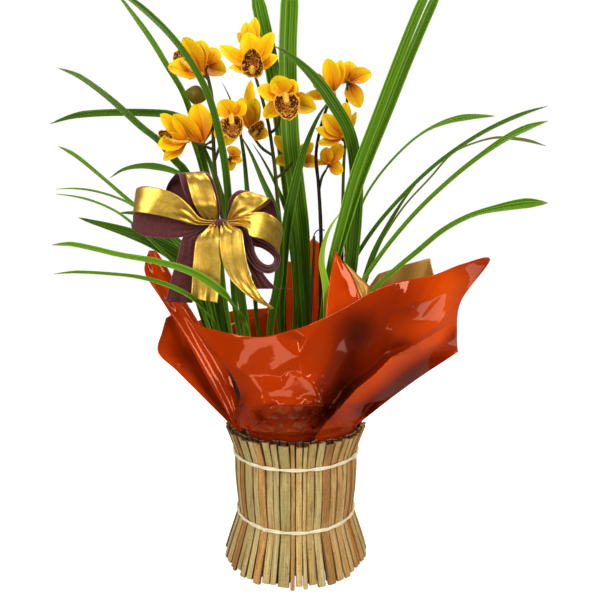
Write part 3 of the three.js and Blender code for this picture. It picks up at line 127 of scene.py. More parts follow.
            "t": [[-149.57, -24, 501.25, 12.3], [-148.71, -36, 464.24, 16.7], [-146.36, -26, 451.21, 12.3], [-139.71, -16, 492.94, 11.1]],
            "lip": [-148.59, -32, 480.36],
        },
        "flower_left_under": {
            "c": [-103.25, -20, 470.28],
            "f": [-0.303, 0.505, 0.808],
            "t": [[-134.15, -26, 500.57, 17.0], [-111.02, -18, 515.87, 20.3], [-97.8, -12, 503.09, 12.4]],
        },
        "flower_small_low": {
            "c": [-74.16, -6, 458.94],
            "f": [0.228, 0.912, 0.342],
            "t": [[-67.48, -4, 470.77, 12.8], [-73.69, -6, 443.66, 9.3], [-61.34, -8, 454.49, 9.3]],
        },
        "flower_right_top": {
            "c": [43.64, 2, 533.53],
            "f": [-0.895, -0.316, 0.316],
            "t": [[35.12, 0, 571.8, 15.3], [51.37, 8, 574.26, 12.9], [8.92, 6, 532.54, 10.6], [37.67, 10, 524.27, 10.6]],
            "lip": [21.09, -2, 555.91],
        },
        "flower_right_top_back": {
            "c": [61.86, 14, 551.15],
            "f": [0.309, 0.928, 0.206],
            "t": [[64.04, 18, 577.7, 14.4], [88.46, 12, 561.84, 15.6], [76.29, 14, 522.22, 16.8], [53.05, 20, 555.9, 9.6]],
        },
        "flower_right_mid": {
            "c": [53.77, -6, 480.37],
            "f": [-0.444, -0.778, 0.444],
            "t": [[30.98, -8, 506.66, 15.1], [22.92, -12, 489.76, 10.4], [25.47, -14, 472.17, 10.4], [57.04, -2, 522.78, 12.8], [69.85, 4, 513.57, 7.0]],
        },
        "flower_right_low": {
            "c": [38.69, 6, 453.27],
            "f": [0.11, 0.988, 0.11],
            "t": [[35.24, 6, 473.48, 11.9], [53.51, 8, 478.07, 13.0], [55.23, 6, 445.17, 13.0], [28.5, 12, 462.28, 9.5]],
        },
        "flower_hidden": {
            "c": [1.22, 26, 468.14],
            "f": [0.0, -0.976, 0.217],
            "t": [[-25.95, 24, 460.49, 13.5], [29.01, 24, 458.1, 13.5], [-26.09, 28, 492.6, 13.5], [20.63, 28, 484.23, 12.3]],
        },
    },
    "spikes": {
        "spike_left": [{"p": [[-30.0, -8.0, 152.0], [-64.0, -14, 260.9], [-75.7, -16, 352.3], [-85.2, -18, 402.6], [-90.1, -20, 441.1], [-92.3, -18, 485.7], [-93.2, -16, 518.2], [-96.0, -14, 535.5], [-99.4, -13, 549.1]], "r": [2.6, 1.5]}, {"p": [[-91.1, -19, 474.4], [-96.4, -21, 470.6]], "r": [1.3, 1.1]}, {"p": [[-90.7, -19, 463.4], [-100.8, -27, 465.6], [-113.7, -28, 469.7]], "r": [1.2, 1.0]}, {"p": [[-90.0, -20, 452.1], [-81.7, -22, 473.6], [-74.1, -28, 484.8]], "r": [1.2, 1.0]}],
        "spike_centre": [{"p": [[-4.0, 6.0, 152.0], [-14.1, 2, 259.1], [-13.3, 0, 329.9], [-16.1, -2, 364.7], [-21.0, -6, 410.1], [-23.6, -10, 443.3], [-28.4, -14, 480.3], [-31.0, -16, 495.1], [-37.5, -18, 520.8], [-43.4, -19, 540.0]], "r": [2.6, 1.4]}, {"p": [[-28.4, -14, 483.6], [-20.6, -22, 487.8], [-15.8, -31, 501.0]], "r": [1.3, 1.1]}, {"p": [[-26.9, -12, 459.7], [-38.0, -14, 466.9], [-46.9, -15, 477.8]], "r": [1.3, 1.1]}, {"p": [[-22.0, -8, 434.7], [-13.9, 6, 444.6], [-4.7, 18, 457.9]], "r": [1.3, 1.1]}],
        "spike_right": [{"p": [[24.0, -2.0, 152.0], [28.3, -2, 259.6], [29.3, 0, 370.6], [26.4, 2, 428.7], [23.5, 4, 463.7], [28.2, 6, 493.0], [35.1, 5, 515.6], [39.6, 4, 526.7]], "r": [2.5, 1.4]}, {"p": [[27.0, 2, 423.0], [30.6, 4, 438.4], [35.2, 5, 446.7]], "r": [1.3, 1.1]}],
        "spike_right_back": [{"p": [[42.0, 20.0, 152.0], [55.0, 22, 256.9], [55.7, 20, 354.4], [56.4, 18, 425.9], [57.3, 16, 460.9], [60.7, 17, 508.1], [60.6, 17, 533.8]], "r": [2.3, 1.3]}],
    },
    "stakes": {
        "stake_centre": [{"p": [[14.0, -14.0, 128.0], [16.3, -16, 261.1], [20.8, -14, 352.4], [20.8, -14, 368.2]], "r": [1.6, 1.6]}],
        "stake_right": [{"p": [[52.0, 4.0, 128.0], [59.2, 2, 259.1], [59.4, 2, 353.3], [57.4, 2, 395.2]], "r": [2.6, 2.6]}],
    },
    "bud": {
        "a": [-99.66, -16, 521.53],
        "b": [-122.11, -20, 527.12],
        "r": 10,
    },
    "film_front": [[[-41.1, -47.2, 58], [-41.5, -47.7, 112], [-46.3, -53.2, 141], [-49.9, -57.4, 157], [-51.8, -64, 192.7], [-76.0, -68, 233.6], [-109.4, -74, 276.8]], [[-35.0, -51.9, 58], [-35.3, -52.4, 112], [-39.4, -58.4, 141], [-42.5, -63.0, 157], [-46.5, -75, 187.2], [-63.4, -84, 228.3], [-85.0, -90, 270.8]], [[-25.5, -57.2, 58], [-25.7, -57.7, 112], [-28.7, -64.4, 141], [-30.9, -69.4, 157], [-29.3, -86, 186.2], [-33.0, -100, 226.6], [-35.6, -112, 265.1]], [[-16.2, -60.5, 58], [-16.4, -61.0, 112], [-18.2, -68.1, 141], [-19.7, -73.4, 157], [-11.0, -92, 185.9], [-6.4, -114, 232.3], [-2.4, -130, 273.8]], [[-7.6, -62.1, 58], [-7.7, -62.7, 112], [-8.6, -70.0, 141], [-9.3, -75.4, 157], [6.8, -94, 186.5], [14.2, -114, 236.1], [16.7, -126, 279.7]], [[1.1, -62.6, 58], [1.1, -63.2, 112], [1.2, -70.5, 141], [1.3, -76.0, 157], [22.7, -92, 187.9], [39.4, -104, 241.9], [48.4, -108, 293.2]], [[9.8, -61.8, 58], [9.9, -62.4, 112], [11.0, -69.6, 141], [11.9, -75.1, 157], [37.0, -86, 190.3], [62.0, -92, 249.8], [75.3, -92, 307.4]], [[18.3, -59.9, 58], [18.5, -60.4, 112], [20.6, -67.4, 141], [22.2, -72.7, 157], [49.5, -80, 194.8], [83.6, -80, 253.0], [103.0, -76, 316.6]], [[26.5, -56.7, 58], [26.7, -57.3, 112], [29.8, -63.9, 141], [32.1, -68.9, 157], [60.6, -72, 194.8], [108.8, -66, 251.0], [144.4, -58, 323.7]], [[34.1, -52.5, 58], [34.4, -53.0, 112], [38.4, -59.1, 141], [41.4, -63.7, 157], [72.0, -64, 195.9], [133.6, -50, 254.1], [180.1, -42, 335.7]], [[41.1, -47.2, 58], [41.5, -47.7, 112], [46.3, -53.2, 141], [49.9, -57.4, 157], [81.9, -54, 195.5], [150.3, -36, 257.8], [217.4, -24, 340.7]], [[47.2, -41.1, 58], [47.7, -41.5, 112], [53.2, -46.3, 141], [57.4, -49.9, 157], [92.2, -44, 191.9], [153.8, -24, 245.0], [191.7, -10, 289.4]], [[52.5, -34.1, 58], [53.0, -34.4, 112], [59.1, -38.4, 141], [63.7, -41.4, 157], [98.7, -32, 186.6], [153.4, -10, 216.2], [191.5, 4, 231.5]], [[56.7, -26.5, 58], [57.3, -26.7, 112], [63.9, -29.8, 141], [68.9, -32.1, 157], [96.6, -18, 185.3], [144.6, 2, 230.6], [182.7, 20, 271.8]]],
    "film_back": [[[57.3, -16.4, 58], [57.9, -16.6, 112], [64.4, -18.5, 141], [71.1, -20.4, 158], [94.6, -2, 178.9], [128.2, 14, 233.5], [168.2, 30, 285.9]], [[59.6, -0.0, 58], [60.2, -0.0, 112], [67.0, -0.0, 141], [74.0, -0.0, 158], [81.5, 24, 182.3], [125.4, 50, 259.0], [173.2, 60, 345.1]], [[56.0, 20.4, 58], [56.6, 20.6, 112], [63.0, 22.9, 141], [69.5, 25.3, 158], [66.3, 46, 187.4], [98.1, 74, 267.2], [128.8, 84, 332.6]], [[47.0, 36.7, 58], [47.4, 37.1, 112], [52.8, 41.2, 141], [58.3, 45.6, 158], [50.7, 60, 189.6], [76.3, 82, 272.0], [97.7, 92, 312.3]], [[33.3, 49.4, 58], [33.7, 49.9, 112], [37.5, 55.5, 141], [41.4, 61.3, 158], [35.4, 68, 193.2], [52.1, 84, 288.1], [54.9, 88, 358.3]], [[20.4, 56.0, 58], [20.6, 56.6, 112], [22.9, 63.0, 141], [25.3, 69.5, 158], [15.5, 72, 192.4], [29.4, 88, 271.5], [39.1, 94, 301.3]], [[6.2, 59.3, 58], [6.3, 59.9, 112], [7.0, 66.6, 141], [7.7, 73.6, 158], [-0.5, 74, 192.0], [13.0, 88, 287.9], [21.8, 90, 374.6]], [[-7.3, 59.2, 58], [-7.3, 59.8, 112], [-8.2, 66.5, 141], [-9.0, 73.4, 158], [-21.9, 73, 194.9], [-16.9, 88, 271.5], [-8.8, 94, 342.3]], [[-20.4, 56.0, 58], [-20.6, 56.6, 112], [-22.9, 63.0, 141], [-25.3, 69.5, 158], [-43.0, 69, 195.7], [-46.8, 86, 260.8], [-50.2, 96, 301.2]], [[-35.0, 48.2, 58], [-35.4, 48.7, 112], [-39.4, 54.2, 141], [-43.5, 59.9, 158], [-68.5, 60, 189.6], [-83.7, 78, 253.4], [-96.4, 92, 290.4]], [[-47.6, 35.9, 58], [-48.1, 36.2, 112], [-53.5, 40.3, 141], [-59.1, 44.5, 158], [-90.0, 46, 187.4], [-124.1, 66, 262.6], [-146.0, 82, 293.6]], [[-56.0, 20.4, 58], [-56.6, 20.6, 112], [-63.0, 22.9, 141], [-69.5, 25.3, 158], [-102.1, 28, 186.3], [-144.8, 44, 274.9], [-186.1, 50, 354.8]], [[-59.5, 4.2, 58], [-60.1, 4.2, 112], [-66.8, 4.7, 141], [-73.8, 5.2, 158], [-108.1, 8, 188.5], [-147.7, 16, 260.0], [-184.6, 28, 323.0]], [[-58.5, -11.4, 58], [-59.1, -11.5, 112], [-65.8, -12.8, 141], [-72.6, -14.1, 158], [-106.4, -12, 190.9], [-130.8, -14, 240.1], [-147.0, -12, 275.7]], [[-54.0, -25.2, 58], [-54.6, -25.4, 112], [-60.7, -28.3, 141], [-67.1, -31.3, 158], [-101.0, -28, 187.9], [-130.5, -34, 225.3], [-152.5, -34, 238.7]], [[-47.6, -35.9, 58], [-48.1, -36.2, 112], [-53.5, -40.3, 141], [-59.1, -44.5, 158], [-82.6, -44, 178.6], [-99.1, -48, 197.3], [-113.7, -50, 206.5]]],
    "gold": [[[-78.3, -78, 378.6, -78.3, -78, 371.7], [-99.1, -88, 380.4, -99.2, -88, 371.6], [-117.7, -98, 399.1, -124.6, -98, 381.9], [-138.0, -100, 408.1, -144.1, -100, 382.6], [-152.5, -94, 407.4, -155.7, -94, 384.4], [-158.2, -86, 404.0, -159.5, -86, 384.5], [-150.1, -78, 400.5, -152.3, -78, 382.6], [-120.8, -72, 391.4, -122.0, -72, 375.3], [-80.0, -74, 378.1, -80.0, -74, 372.1]], [[-81.0, -74, 379.1, -74.9, -74, 379.1], [-89.8, -80, 393.2, -75.9, -80, 388.3], [-101.2, -86, 408.9, -79.6, -86, 406.9], [-108.4, -84, 420.9, -84.8, -84, 420.0], [-108.7, -74, 426.5, -87.6, -74, 426.5], [-102.9, -64, 423.1, -87.5, -64, 423.1], [-92.2, -62, 401.1, -79.9, -62, 401.1], [-81.0, -68, 380.9, -74.9, -68, 380.9]], [[-74.3, -72, 378.3, -72.3, -72, 373.3], [-62.6, -82, 391.9, -54.7, -82, 378.1], [-48.7, -90, 402.3, -36.1, -90, 383.0], [-32.3, -88, 404.6, -22.6, -88, 389.1], [-25.2, -76, 402.8, -19.3, -76, 390.8], [-34.1, -66, 398.4, -30.0, -66, 386.2], [-57.0, -64, 388.5, -52.9, -64, 378.3], [-73.9, -68, 378.8, -71.9, -68, 373.7]], [[-71.9, -74, 376.1, -73.0, -74, 369.1], [-45.7, -92, 384.7, -47.8, -92, 359.5], [-27.8, -98, 381.9, -31.7, -98, 356.2], [-15.7, -90, 371.4, -18.7, -90, 348.0], [-17.3, -76, 360.9, -21.4, -76, 336.7], [-36.3, -66, 365.8, -40.5, -66, 345.3], [-57.0, -64, 376.2, -59.2, -64, 363.9], [-71.5, -70, 375.5, -72.6, -70, 369.5]], [[-79.0, -80, 372.4, -73.0, -80, 368.5], [-91.6, -92, 357.6, -72.1, -92, 353.7], [-96.0, -100, 328.3, -72.0, -100, 326.4], [-99.7, -102, 297.6, -78.6, -102, 295.7]], [[-76.0, -80, 369.5, -70.0, -80, 372.4], [-70.6, -96, 345.7, -49.2, -96, 357.3], [-60.0, -104, 316.8, -38.9, -104, 332.0], [-38.9, -106, 294.0, -23.7, -106, 299.7]]],
    "maroon": [[[-82.5, -54, 379.4, -82.5, -54, 371.1], [-110.0, -58, 376.9, -107.0, -58, 364.4], [-139.8, -62, 395.9, -140.3, -62, 364.1], [-163.2, -60, 397.3, -167.8, -60, 370.5], [-169.5, -48, 397.0, -172.0, -48, 371.6], [-145.8, -42, 391.5, -146.2, -42, 365.8], [-83.2, -50, 379.9, -83.2, -50, 372.5]], [[-86.7, -48, 384.4, -81.4, -48, 380.1], [-114.3, -56, 402.0, -99.8, -56, 395.8], [-132.4, -58, 416.1, -113.8, -58, 405.9], [-129.7, -52, 427.7, -110.9, -52, 419.4], [-116.8, -44, 434.7, -95.5, -44, 429.4], [-98.4, -40, 434.5, -81.3, -40, 421.7], [-84.7, -40, 408.9, -75.0, -40, 400.4], [-82.8, -46, 384.6, -78.5, -46, 381.4]], [[-76.0, -48, 382.2, -74.0, -48, 375.9], [-66.8, -52, 404.8, -50.0, -52, 396.4], [-54.3, -50, 415.6, -26.9, -50, 403.0], [-40.2, -42, 414.9, -16.7, -42, 395.8], [-36.3, -38, 400.7, -21.2, -38, 383.4], [-74.5, -44, 381.6, -72.4, -44, 375.2]], [[-74.7, -50, 375.7, -75.8, -50, 367.2], [-45.5, -56, 360.4, -47.7, -56, 347.9], [-20.3, -58, 347.8, -30.8, -58, 326.9], [-14.4, -48, 354.7, -20.8, -48, 331.2], [-21.0, -42, 376.5, -25.4, -42, 355.1], [-74.3, -46, 376.1, -74.3, -46, 368.7]], [[-85.3, -56, 372.9, -78.0, -56, 368.8], [-114.5, -66, 359.6, -94.0, -66, 351.4], [-125.6, -72, 326.7, -99.2, -72, 322.6], [-131.6, -74, 296.2, -106.1, -74, 296.2]], [[-79.4, -54, 369.0, -73.0, -54, 373.1], [-57.5, -62, 343.4, -38.7, -62, 353.8], [-44.7, -66, 322.6, -28.1, -66, 332.9], [-38.6, -66, 307.2, -20.0, -66, 309.2]]],
    "knot": [-74.94, -76, 374.57],
    "knot2": [-79.09, -51, 376.62],
    "vgold": [[[-76.1, -80, 377.9, -77.9, -80, 373.8], [-92.0, -88, 379.3, -97.2, -88, 372.2], [-102.3, -94, 390.9, -110.9, -94, 375.9], [-112.9, -98, 399.9, -126.4, -98, 379.6], [-127.1, -100, 405.4, -140.7, -100, 382.1], [-143.2, -96, 408.7, -152.6, -96, 383.8], [-153.6, -88, 408.8, -158.3, -88, 385.0], [-158.3, -78, 408.7, -161.5, -78, 386.8], [-152.7, -72, 406.6, -156.5, -72, 387.6], [-125.5, -70, 394.8, -129.1, -70, 384.4], [-79.2, -74, 379.5, -79.2, -74, 376.0]], [[-82.2, -72, 379.8, -78.7, -72, 379.8], [-87.9, -64, 397.5, -79.0, -64, 399.2], [-102.4, -62, 417.2, -82.8, -62, 415.5], [-108.9, -68, 425.1, -90.5, -68, 425.5], [-109.5, -78, 425.0, -90.5, -78, 426.1], [-106.3, -86, 417.6, -84.4, -86, 418.4], [-102.3, -90, 404.3, -78.7, -90, 404.3], [-97.9, -90, 391.4, -76.0, -90, 390.9], [-92.0, -84, 381.7, -76.8, -84, 381.7], [-83.7, -78, 377.8, -77.2, -78, 377.8]], [[-67.8, -78, 377.8, -64.7, -78, 375.8], [-64.3, -86, 386.5, -55.0, -86, 379.7], [-58.8, -92, 397.3, -41.6, -92, 384.8], [-52.4, -92, 402.4, -33.2, -92, 391.1], [-45.5, -86, 405.2, -25.7, -86, 398.5], [-44.0, -76, 405.9, -24.6, -76, 398.7], [-48.4, -68, 400.4, -29.0, -68, 394.8], [-64.1, -70, 382.6, -55.3, -70, 380.0]], [[-70.1, -82, 377.7, -69.3, -82, 373.6], [-52.5, -92, 381.2, -50.1, -92, 370.6], [-36.9, -98, 384.0, -42.8, -98, 360.9], [-25.1, -100, 381.8, -31.8, -100, 357.8], [-16.3, -96, 376.0, -23.0, -96, 353.1], [-12.8, -88, 370.2, -17.2, -88, 346.6], [-13.1, -78, 364.4, -16.3, -78, 344.5], [-20.1, -70, 370.4, -23.7, -70, 352.8], [-45.0, -68, 375.8, -45.0, -68, 365.3], [-69.1, -72, 377.5, -69.1, -72, 375.1]], [[-80.4, -82, 373.9, -75.0, -82, 373.2], [-90.4, -90, 365.0, -74.2, -90, 364.1], [-96.0, -94, 356.3, -72.8, -94, 352.9], [-98.5, -96, 336.1, -72.1, -96, 334.5], [-99.6, -98, 314.4, -72.2, -98, 314.4], [-100.2, -99, 301.1, -74.5, -99, 296.4]], [[-73.2, -84, 374.1, -63.8, -84, 374.1], [-73.3, -92, 363.1, -52.3, -92, 367.3], [-72.3, -96, 347.8, -49.2, -96, 352.8], [-68.4, -98, 331.1, -45.8, -98, 334.4], [-58.7, -99, 315.3, -40.7, -99, 317.8], [-42.1, -99, 301.1, -31.8, -99, 302.0], [-22.2, -98, 290.4, -20.1, -98, 291.4]]],
    "vmaroon": [[[-78.9, -74, 378.3, -81.9, -74, 373.1], [-85.1, -80, 377.9, -88.6, -80, 371.4], [-98.0, -84, 374.1, -100.7, -84, 363.9], [-113.8, -89, 377.7, -117.4, -89, 359.7], [-128.4, -91, 381.6, -133.8, -91, 359.9], [-145.2, -91, 385.0, -148.9, -91, 361.9], [-158.3, -84, 386.8, -160.7, -84, 368.6], [-162.1, -76, 388.7, -163.1, -76, 371.1], [-156.7, -66, 390.1, -158.8, -66, 370.8], [-127.8, -62, 385.4, -129.7, -62, 369.4], [-84.2, -66, 379.6, -84.2, -66, 375.7]], [[-91.3, -66, 379.2, -83.3, -66, 380.5], [-110.7, -58, 394.0, -100.7, -58, 402.9], [-128.7, -54, 407.1, -114.1, -54, 418.8], [-135.7, -54, 412.0, -120.3, -54, 425.1], [-131.6, -58, 420.1, -110.3, -58, 429.0], [-123.0, -66, 425.6, -96.1, -66, 429.4], [-116.9, -76, 424.1, -88.9, -76, 426.2], [-113.1, -82, 415.0, -81.4, -82, 418.4], [-109.3, -84, 404.5, -76.6, -84, 404.5], [-103.8, -84, 393.5, -74.5, -84, 392.7], [-97.2, -78, 382.4, -75.7, -78, 382.4], [-82.2, -72, 378.2, -77.1, -72, 378.9]], [[-70.5, -72, 379.8, -67.3, -72, 377.7], [-67.7, -78, 388.5, -57.8, -78, 381.6], [-65.3, -82, 398.1, -46.9, -82, 386.2], [-60.2, -82, 404.9, -36.6, -82, 391.3], [-53.3, -78, 408.7, -26.9, -78, 399.1], [-45.0, -66, 407.7, -22.4, -66, 398.9], [-40.3, -60, 399.9, -19.9, -60, 391.0], [-42.3, -58, 389.5, -20.0, -58, 382.7], [-56.5, -60, 383.9, -45.8, -60, 374.9], [-69.7, -68, 378.5, -68.8, -68, 375.8]], [[-65.0, -76, 374.6, -63.3, -76, 376.3], [-54.5, -84, 367.2, -48.5, -84, 368.9], [-51.8, -88, 356.7, -43.3, -88, 359.3], [-48.3, -90, 343.9, -40.5, -90, 349.8], [-41.6, -90, 332.6, -37.0, -90, 341.4], [-34.1, -90, 326.9, -32.4, -90, 336.0], [-25.8, -88, 325.0, -27.5, -88, 333.7], [-19.2, -84, 328.0, -23.3, -84, 334.5], [-15.6, -78, 335.4, -21.5, -78, 338.1], [-15.4, -74, 342.8, -22.4, -74, 342.1], [-19.2, -72, 351.8, -27.5, -72, 347.1], [-27.1, -72, 357.9, -35.0, -72, 351.3], [-37.6, -72, 362.3, -41.5, -72, 353.1], [-48.1, -72, 368.4, -49.9, -72, 359.7], [-65.6, -72, 375.7, -65.6, -72, 372.8]], [[-86.2, -74, 373.8, -78.9, -74, 373.1], [-102.4, -80, 365.9, -88.7, -80, 362.5], [-111.2, -84, 361.3, -97.9, -84, 357.0], [-116.4, -86, 341.6, -98.5, -86, 338.2], [-123.0, -88, 317.7, -99.5, -88, 316.0], [-127.8, -90, 297.3, -100.9, -90, 296.0]], [[-65.3, -74, 374.3, -56.6, -74, 372.6], [-55.3, -82, 365.7, -46.7, -82, 364.9], [-51.1, -86, 348.4, -41.2, -86, 348.4], [-45.2, -88, 329.6, -34.3, -88, 330.5], [-40.1, -88, 317.7, -25.8, -88, 318.1], [-37.8, -88, 309.9, -17.3, -88, 310.0]]],
    "relief": [[187.7, 320, -74], [209, 328, -90], [233, 333, -104], [257, 337, -111], [275, 334, -114], [292, 329.5, -116], [308, 325, -116], [326, 316, -110], [346, 306, -102], [371, 291, -90], [396, 281, -80], [418, 278, -72], [433, 275, -62], [456, 265, -50], [472, 261.5, -38], [490, 259.5, -24], [469, 281, -24], [461, 301, -16], [456, 323, -8], [456.6, 336, -4], [459, 349, 2], [429, 371, 8], [396, 394, -6], [363, 417, -28], [345, 432, -52], [330, 437, -72], [310, 440, -78], [292, 441.5, -80], [268, 440, -80], [252, 436, -76], [243, 434, -70], [234, 424, -60], [231, 410, -78], [241, 391, -98], [218, 357, -96], [246, 407, -98], [256, 405, -112.7], [270, 404.5, -115], [294, 405.5, -118.9], [322, 404.5, -123.4], [339, 406, -92], [231, 365, -104], [247, 375, -108], [268, 375, -112], [281, 377, -113.5], [236, 339, -105.5], [291, 374, -117.8], [304.5, 377, -120], [315, 384.6, -121.8], [321, 396, -123], [282, 389.7, -116.6], [262, 396, -113.5], [307.5, 339, -119], [299, 356, -119], [293, 371, -116], [296, 341, -112], [320, 350, -112], [322, 372, -110], [330, 390, -96], [345, 335, -96], [352, 352, -84], [350, 372, -72], [343, 388, -70], [333, 400, -80], [418, 343, -70], [390, 359, -80], [372, 377, -88], [355.5, 390, -92], [341, 406.5, -94], [327, 422, -92], [315, 436.6, -84], [386, 353, -64], [366, 371, -67], [349, 384.5, -72], [335, 400.5, -78], [321.5, 416, -80], [310.5, 431, -80], [408, 352, -60], [388, 366, -76], [374, 402, -56], [392, 380, -50], [420, 357, -34], [350, 415, -66], [337, 429, -76], [425, 364, -16], [396, 386, -30], [366, 407, -46], [400, 310, -82], [384, 330, -78], [430, 300, -64], [415, 320, -68], [447, 291, -50], [440, 325, -36], [450, 308, -34], [438, 345, -22], [405, 306, -86], [392, 333, -84], [334, 350, -106], [336, 372, -98]],
    "relief_edges": [[0, 34], [31, 32], [32, 33], [33, 34], [35, 36], [36, 37], [36, 51], [37, 38], [38, 39], [39, 40], [39, 49], [41, 42], [42, 43], [43, 44], [44, 46], [44, 50], [46, 47], [47, 48], [48, 49], [50, 51], [52, 53], [53, 54], [58, 98], [64, 65], [65, 66], [66, 67], [67, 68], [68, 69], [68, 79], [69, 70], [71, 72], [72, 73], [73, 74], [74, 75], [75, 76], [78, 79], [84, 85], [85, 86], [97, 98]],
    "vfront": [[-49.9, -57.4, [233, 420], [240, 392], [219, 357], [188, 320]], [-42.5, -63.0, [243, 423], [245, 392], [231, 360], [209, 328.5]], [-30.9, -69.4, [258, 425], [262, 395], [258, 365], [257, 337]], [-19.7, -73.4, [276, 426], [285, 395], [290, 363], [292, 330]], [-9.3, -75.4, [296, 426], [306, 394], [311, 360], [313, 323]], [1.3, -76.0, [312, 424], [328, 390], [338, 350], [346, 307]], [11.9, -75.1, [325, 421], [342, 381], [358, 336], [372, 291.5]], [22.2, -72.7, [334, 419], [354, 376], [375, 330], [397, 282]], [32.1, -68.9, [341, 416], [366, 370], [398, 322], [433, 275]], [41.4, -63.7, [347, 414], [376, 366], [415, 318], [462, 264]], [49.9, -57.4, [352, 413], [385, 368], [430, 320], [490, 259.5]], [57.4, -49.9, [356, 414], [388, 376], [424, 345], [461, 301]], [63.7, -41.4, [360, 417], [392, 385], [430, 357], [457, 336]], [68.9, -32.1, [358, 424], [386, 402], [420, 377], [458, 352]]],
    "vback": [[344, [133.2, 4, 235.1], [169.1, 26, 323.0]], [350, [129.8, 22, 247.1], [169.9, 48, 345.9]], [2, [118.8, 42, 259.8], [140.5, 64, 337.4]], [14, [101.2, 60, 268.4], [109.0, 78, 325.8]], [22, [91.9, 68, 273.0], [98.6, 84, 309.7]], [30, [84.2, 70, 275.5], [81.7, 84, 325.2]], [38, [73.9, 72, 275.4], [65.4, 84, 340.6]], [46, [64.8, 74, 275.2], [53.4, 86, 356.8]], [54, [51.6, 76, 272.4], [44.1, 86, 315.1]], [60, [41.0, 78, 269.6], [38.1, 86, 288.0]], [66, [34.3, 78, 269.6], [31.1, 88, 367.7]], [72, [25.0, 79, 269.5], [21.9, 89, 374.9]], [78, [16.9, 79, 269.5], [15.0, 88, 365.0]], [84, [8.9, 79, 269.5], [6.2, 86, 286.6]], [90, [2.2, 78, 269.6], [0.8, 86, 340.7]], [97, [-11.2, 78, 269.6], [-15.4, 86, 344.1]], [108, [-32.6, 76, 264.4], [-39.8, 84, 279.9]], [126, [-72.0, 70, 249.0], [-81.2, 80, 277.5]], [143, [-103.8, 54, 235.2], [-121.4, 66, 267.9]], [156, [-110.0, 32, 228.3], [-123.8, 40, 266.3]], [162, [-104.1, 14, 221.3], [-135.0, 30, 289.6]], [170, [-85.1, -14, 210.0], [-105.9, 0, 249.9]], [182, [-67.7, -40, 195.3], [-77.3, -34, 223.0]], [194, [-54.9, -56, 186.3], [-58.5, -60, 206.6]]],
    "flaps": [[[[-182.9, 36, 354.7], [-174.5, 39, 354.5]], [[-184.4, 26, 340.1], [-166.3, 34, 344.1]], [[-180.7, 16, 324.1], [-155.1, 24, 330.3]], [[-160.0, 2, 298.2], [-137.9, 8, 303.9]], [[-145.2, -10, 280.2], [-119.1, -8, 280.0]], [[-122.6, -24, 249.6], [-98.1, -28, 252.3]], [[-98.0, -42, 213.5], [-75.4, -46, 224.2]], [[-79.4, -56, 188.4], [-63.4, -56, 198.2]], [[-67.4, -66, 172.0], [-58.2, -64, 177.8]], [[-60.7, -62, 158.0], [-54.6, -60, 159.5]]], [[[-151.0, -6, 274.1], [-146.7, 4, 277.9]], [[-153.0, -16, 258.8], [-131.3, -2, 252.5]], [[-153.7, -30, 238.0], [-120.3, -10, 237.2]], [[-131.7, -38, 219.3], [-106.0, -24, 218.9]], [[-108.2, -46, 199.0], [-89.3, -36, 197.7]], [[-87.3, -54, 181.4], [-75.4, -48, 180.8]], [[-72.5, -60, 169.1], [-63.5, -56, 167.9]], [[-63.3, -58, 158.8], [-56.1, -56, 157.1]]]],
    "tri": [[[29.8, -66, 266.7], [69.4, -64, 281.1]], [[30.9, -64, 279.0], [70.3, -60, 294.4]], [[32.6, -60, 297.6], [66.0, -56, 307.9]], [[35.0, -56, 314.3], [60.1, -52, 322.7]], [[38.8, -52, 333.3], [51.2, -49, 336.6]], [[42.4, -48, 349.4], [43.7, -48, 348.7]]],
    "tri_in": [[[68.7, -61, 278.7], [72.0, -60, 280.8]], [[68.5, -58, 294.3], [75.6, -56, 297.4]], [[64.2, -54, 310.0], [78.7, -52, 311.0]], [[58.1, -50, 322.7], [69.1, -48, 321.6]], [[52.0, -47, 336.6], [54.7, -46.5, 335.6]]],
}
MM = 0.001


def v3(p):
    return Vector((p[0], p[1], p[2]))


# ---------------------------------------------------------------- curves
def crom(points, n, closed=False):
    """n + 1 points evenly spaced along a centripetal Catmull-Rom curve"""
    P = [v3(p) for p in points]
    if len(P) == 2:
        return [P[0].lerp(P[1], i / n) for i in range(n + 1)]
    ext = [P[0] * 2 - P[1]] + P + [P[-1] * 2 - P[-2]]
    dense = []
    per = 24
    for k in range(1, len(ext) - 2):
        p0, p1, p2, p3 = ext[k - 1], ext[k], ext[k + 1], ext[k + 2]
        t01 = max(1e-6, (p1 - p0).length ** 0.5)
        t12 = max(1e-6, (p2 - p1).length ** 0.5)
        t23 = max(1e-6, (p3 - p2).length ** 0.5)
        m1 = (p2 - p1) + ((p1 - p0) / t01 - (p2 - p0) / (t01 + t12)) * t12
        m2 = (p2 - p1) + ((p3 - p2) / t23 - (p3 - p1) / (t12 + t23)) * t12
        for i in range(per):
            s = i / per
            a = 2 * (p1 - p2) + m1 + m2
            b = -3 * (p1 - p2) - 2 * m1 - m2
            dense.append(a * s ** 3 + b * s * s + m1 * s + p1)
    dense.append(P[-1])
    L = [0.0]
    for i in range(1, len(dense)):
        L.append(L[-1] + (dense[i] - dense[i - 1]).length)
    out, k = [], 0
    for i in range(n + 1):
        d = L[-1] * i / n
        while k < len(L) - 2 and L[k + 1] < d:
            k += 1
        seg = L[k + 1] - L[k]
        out.append(dense[k].lerp(dense[k + 1], 0 if seg <= 0 else min(1, (d - L[k]) / seg)))
    return out


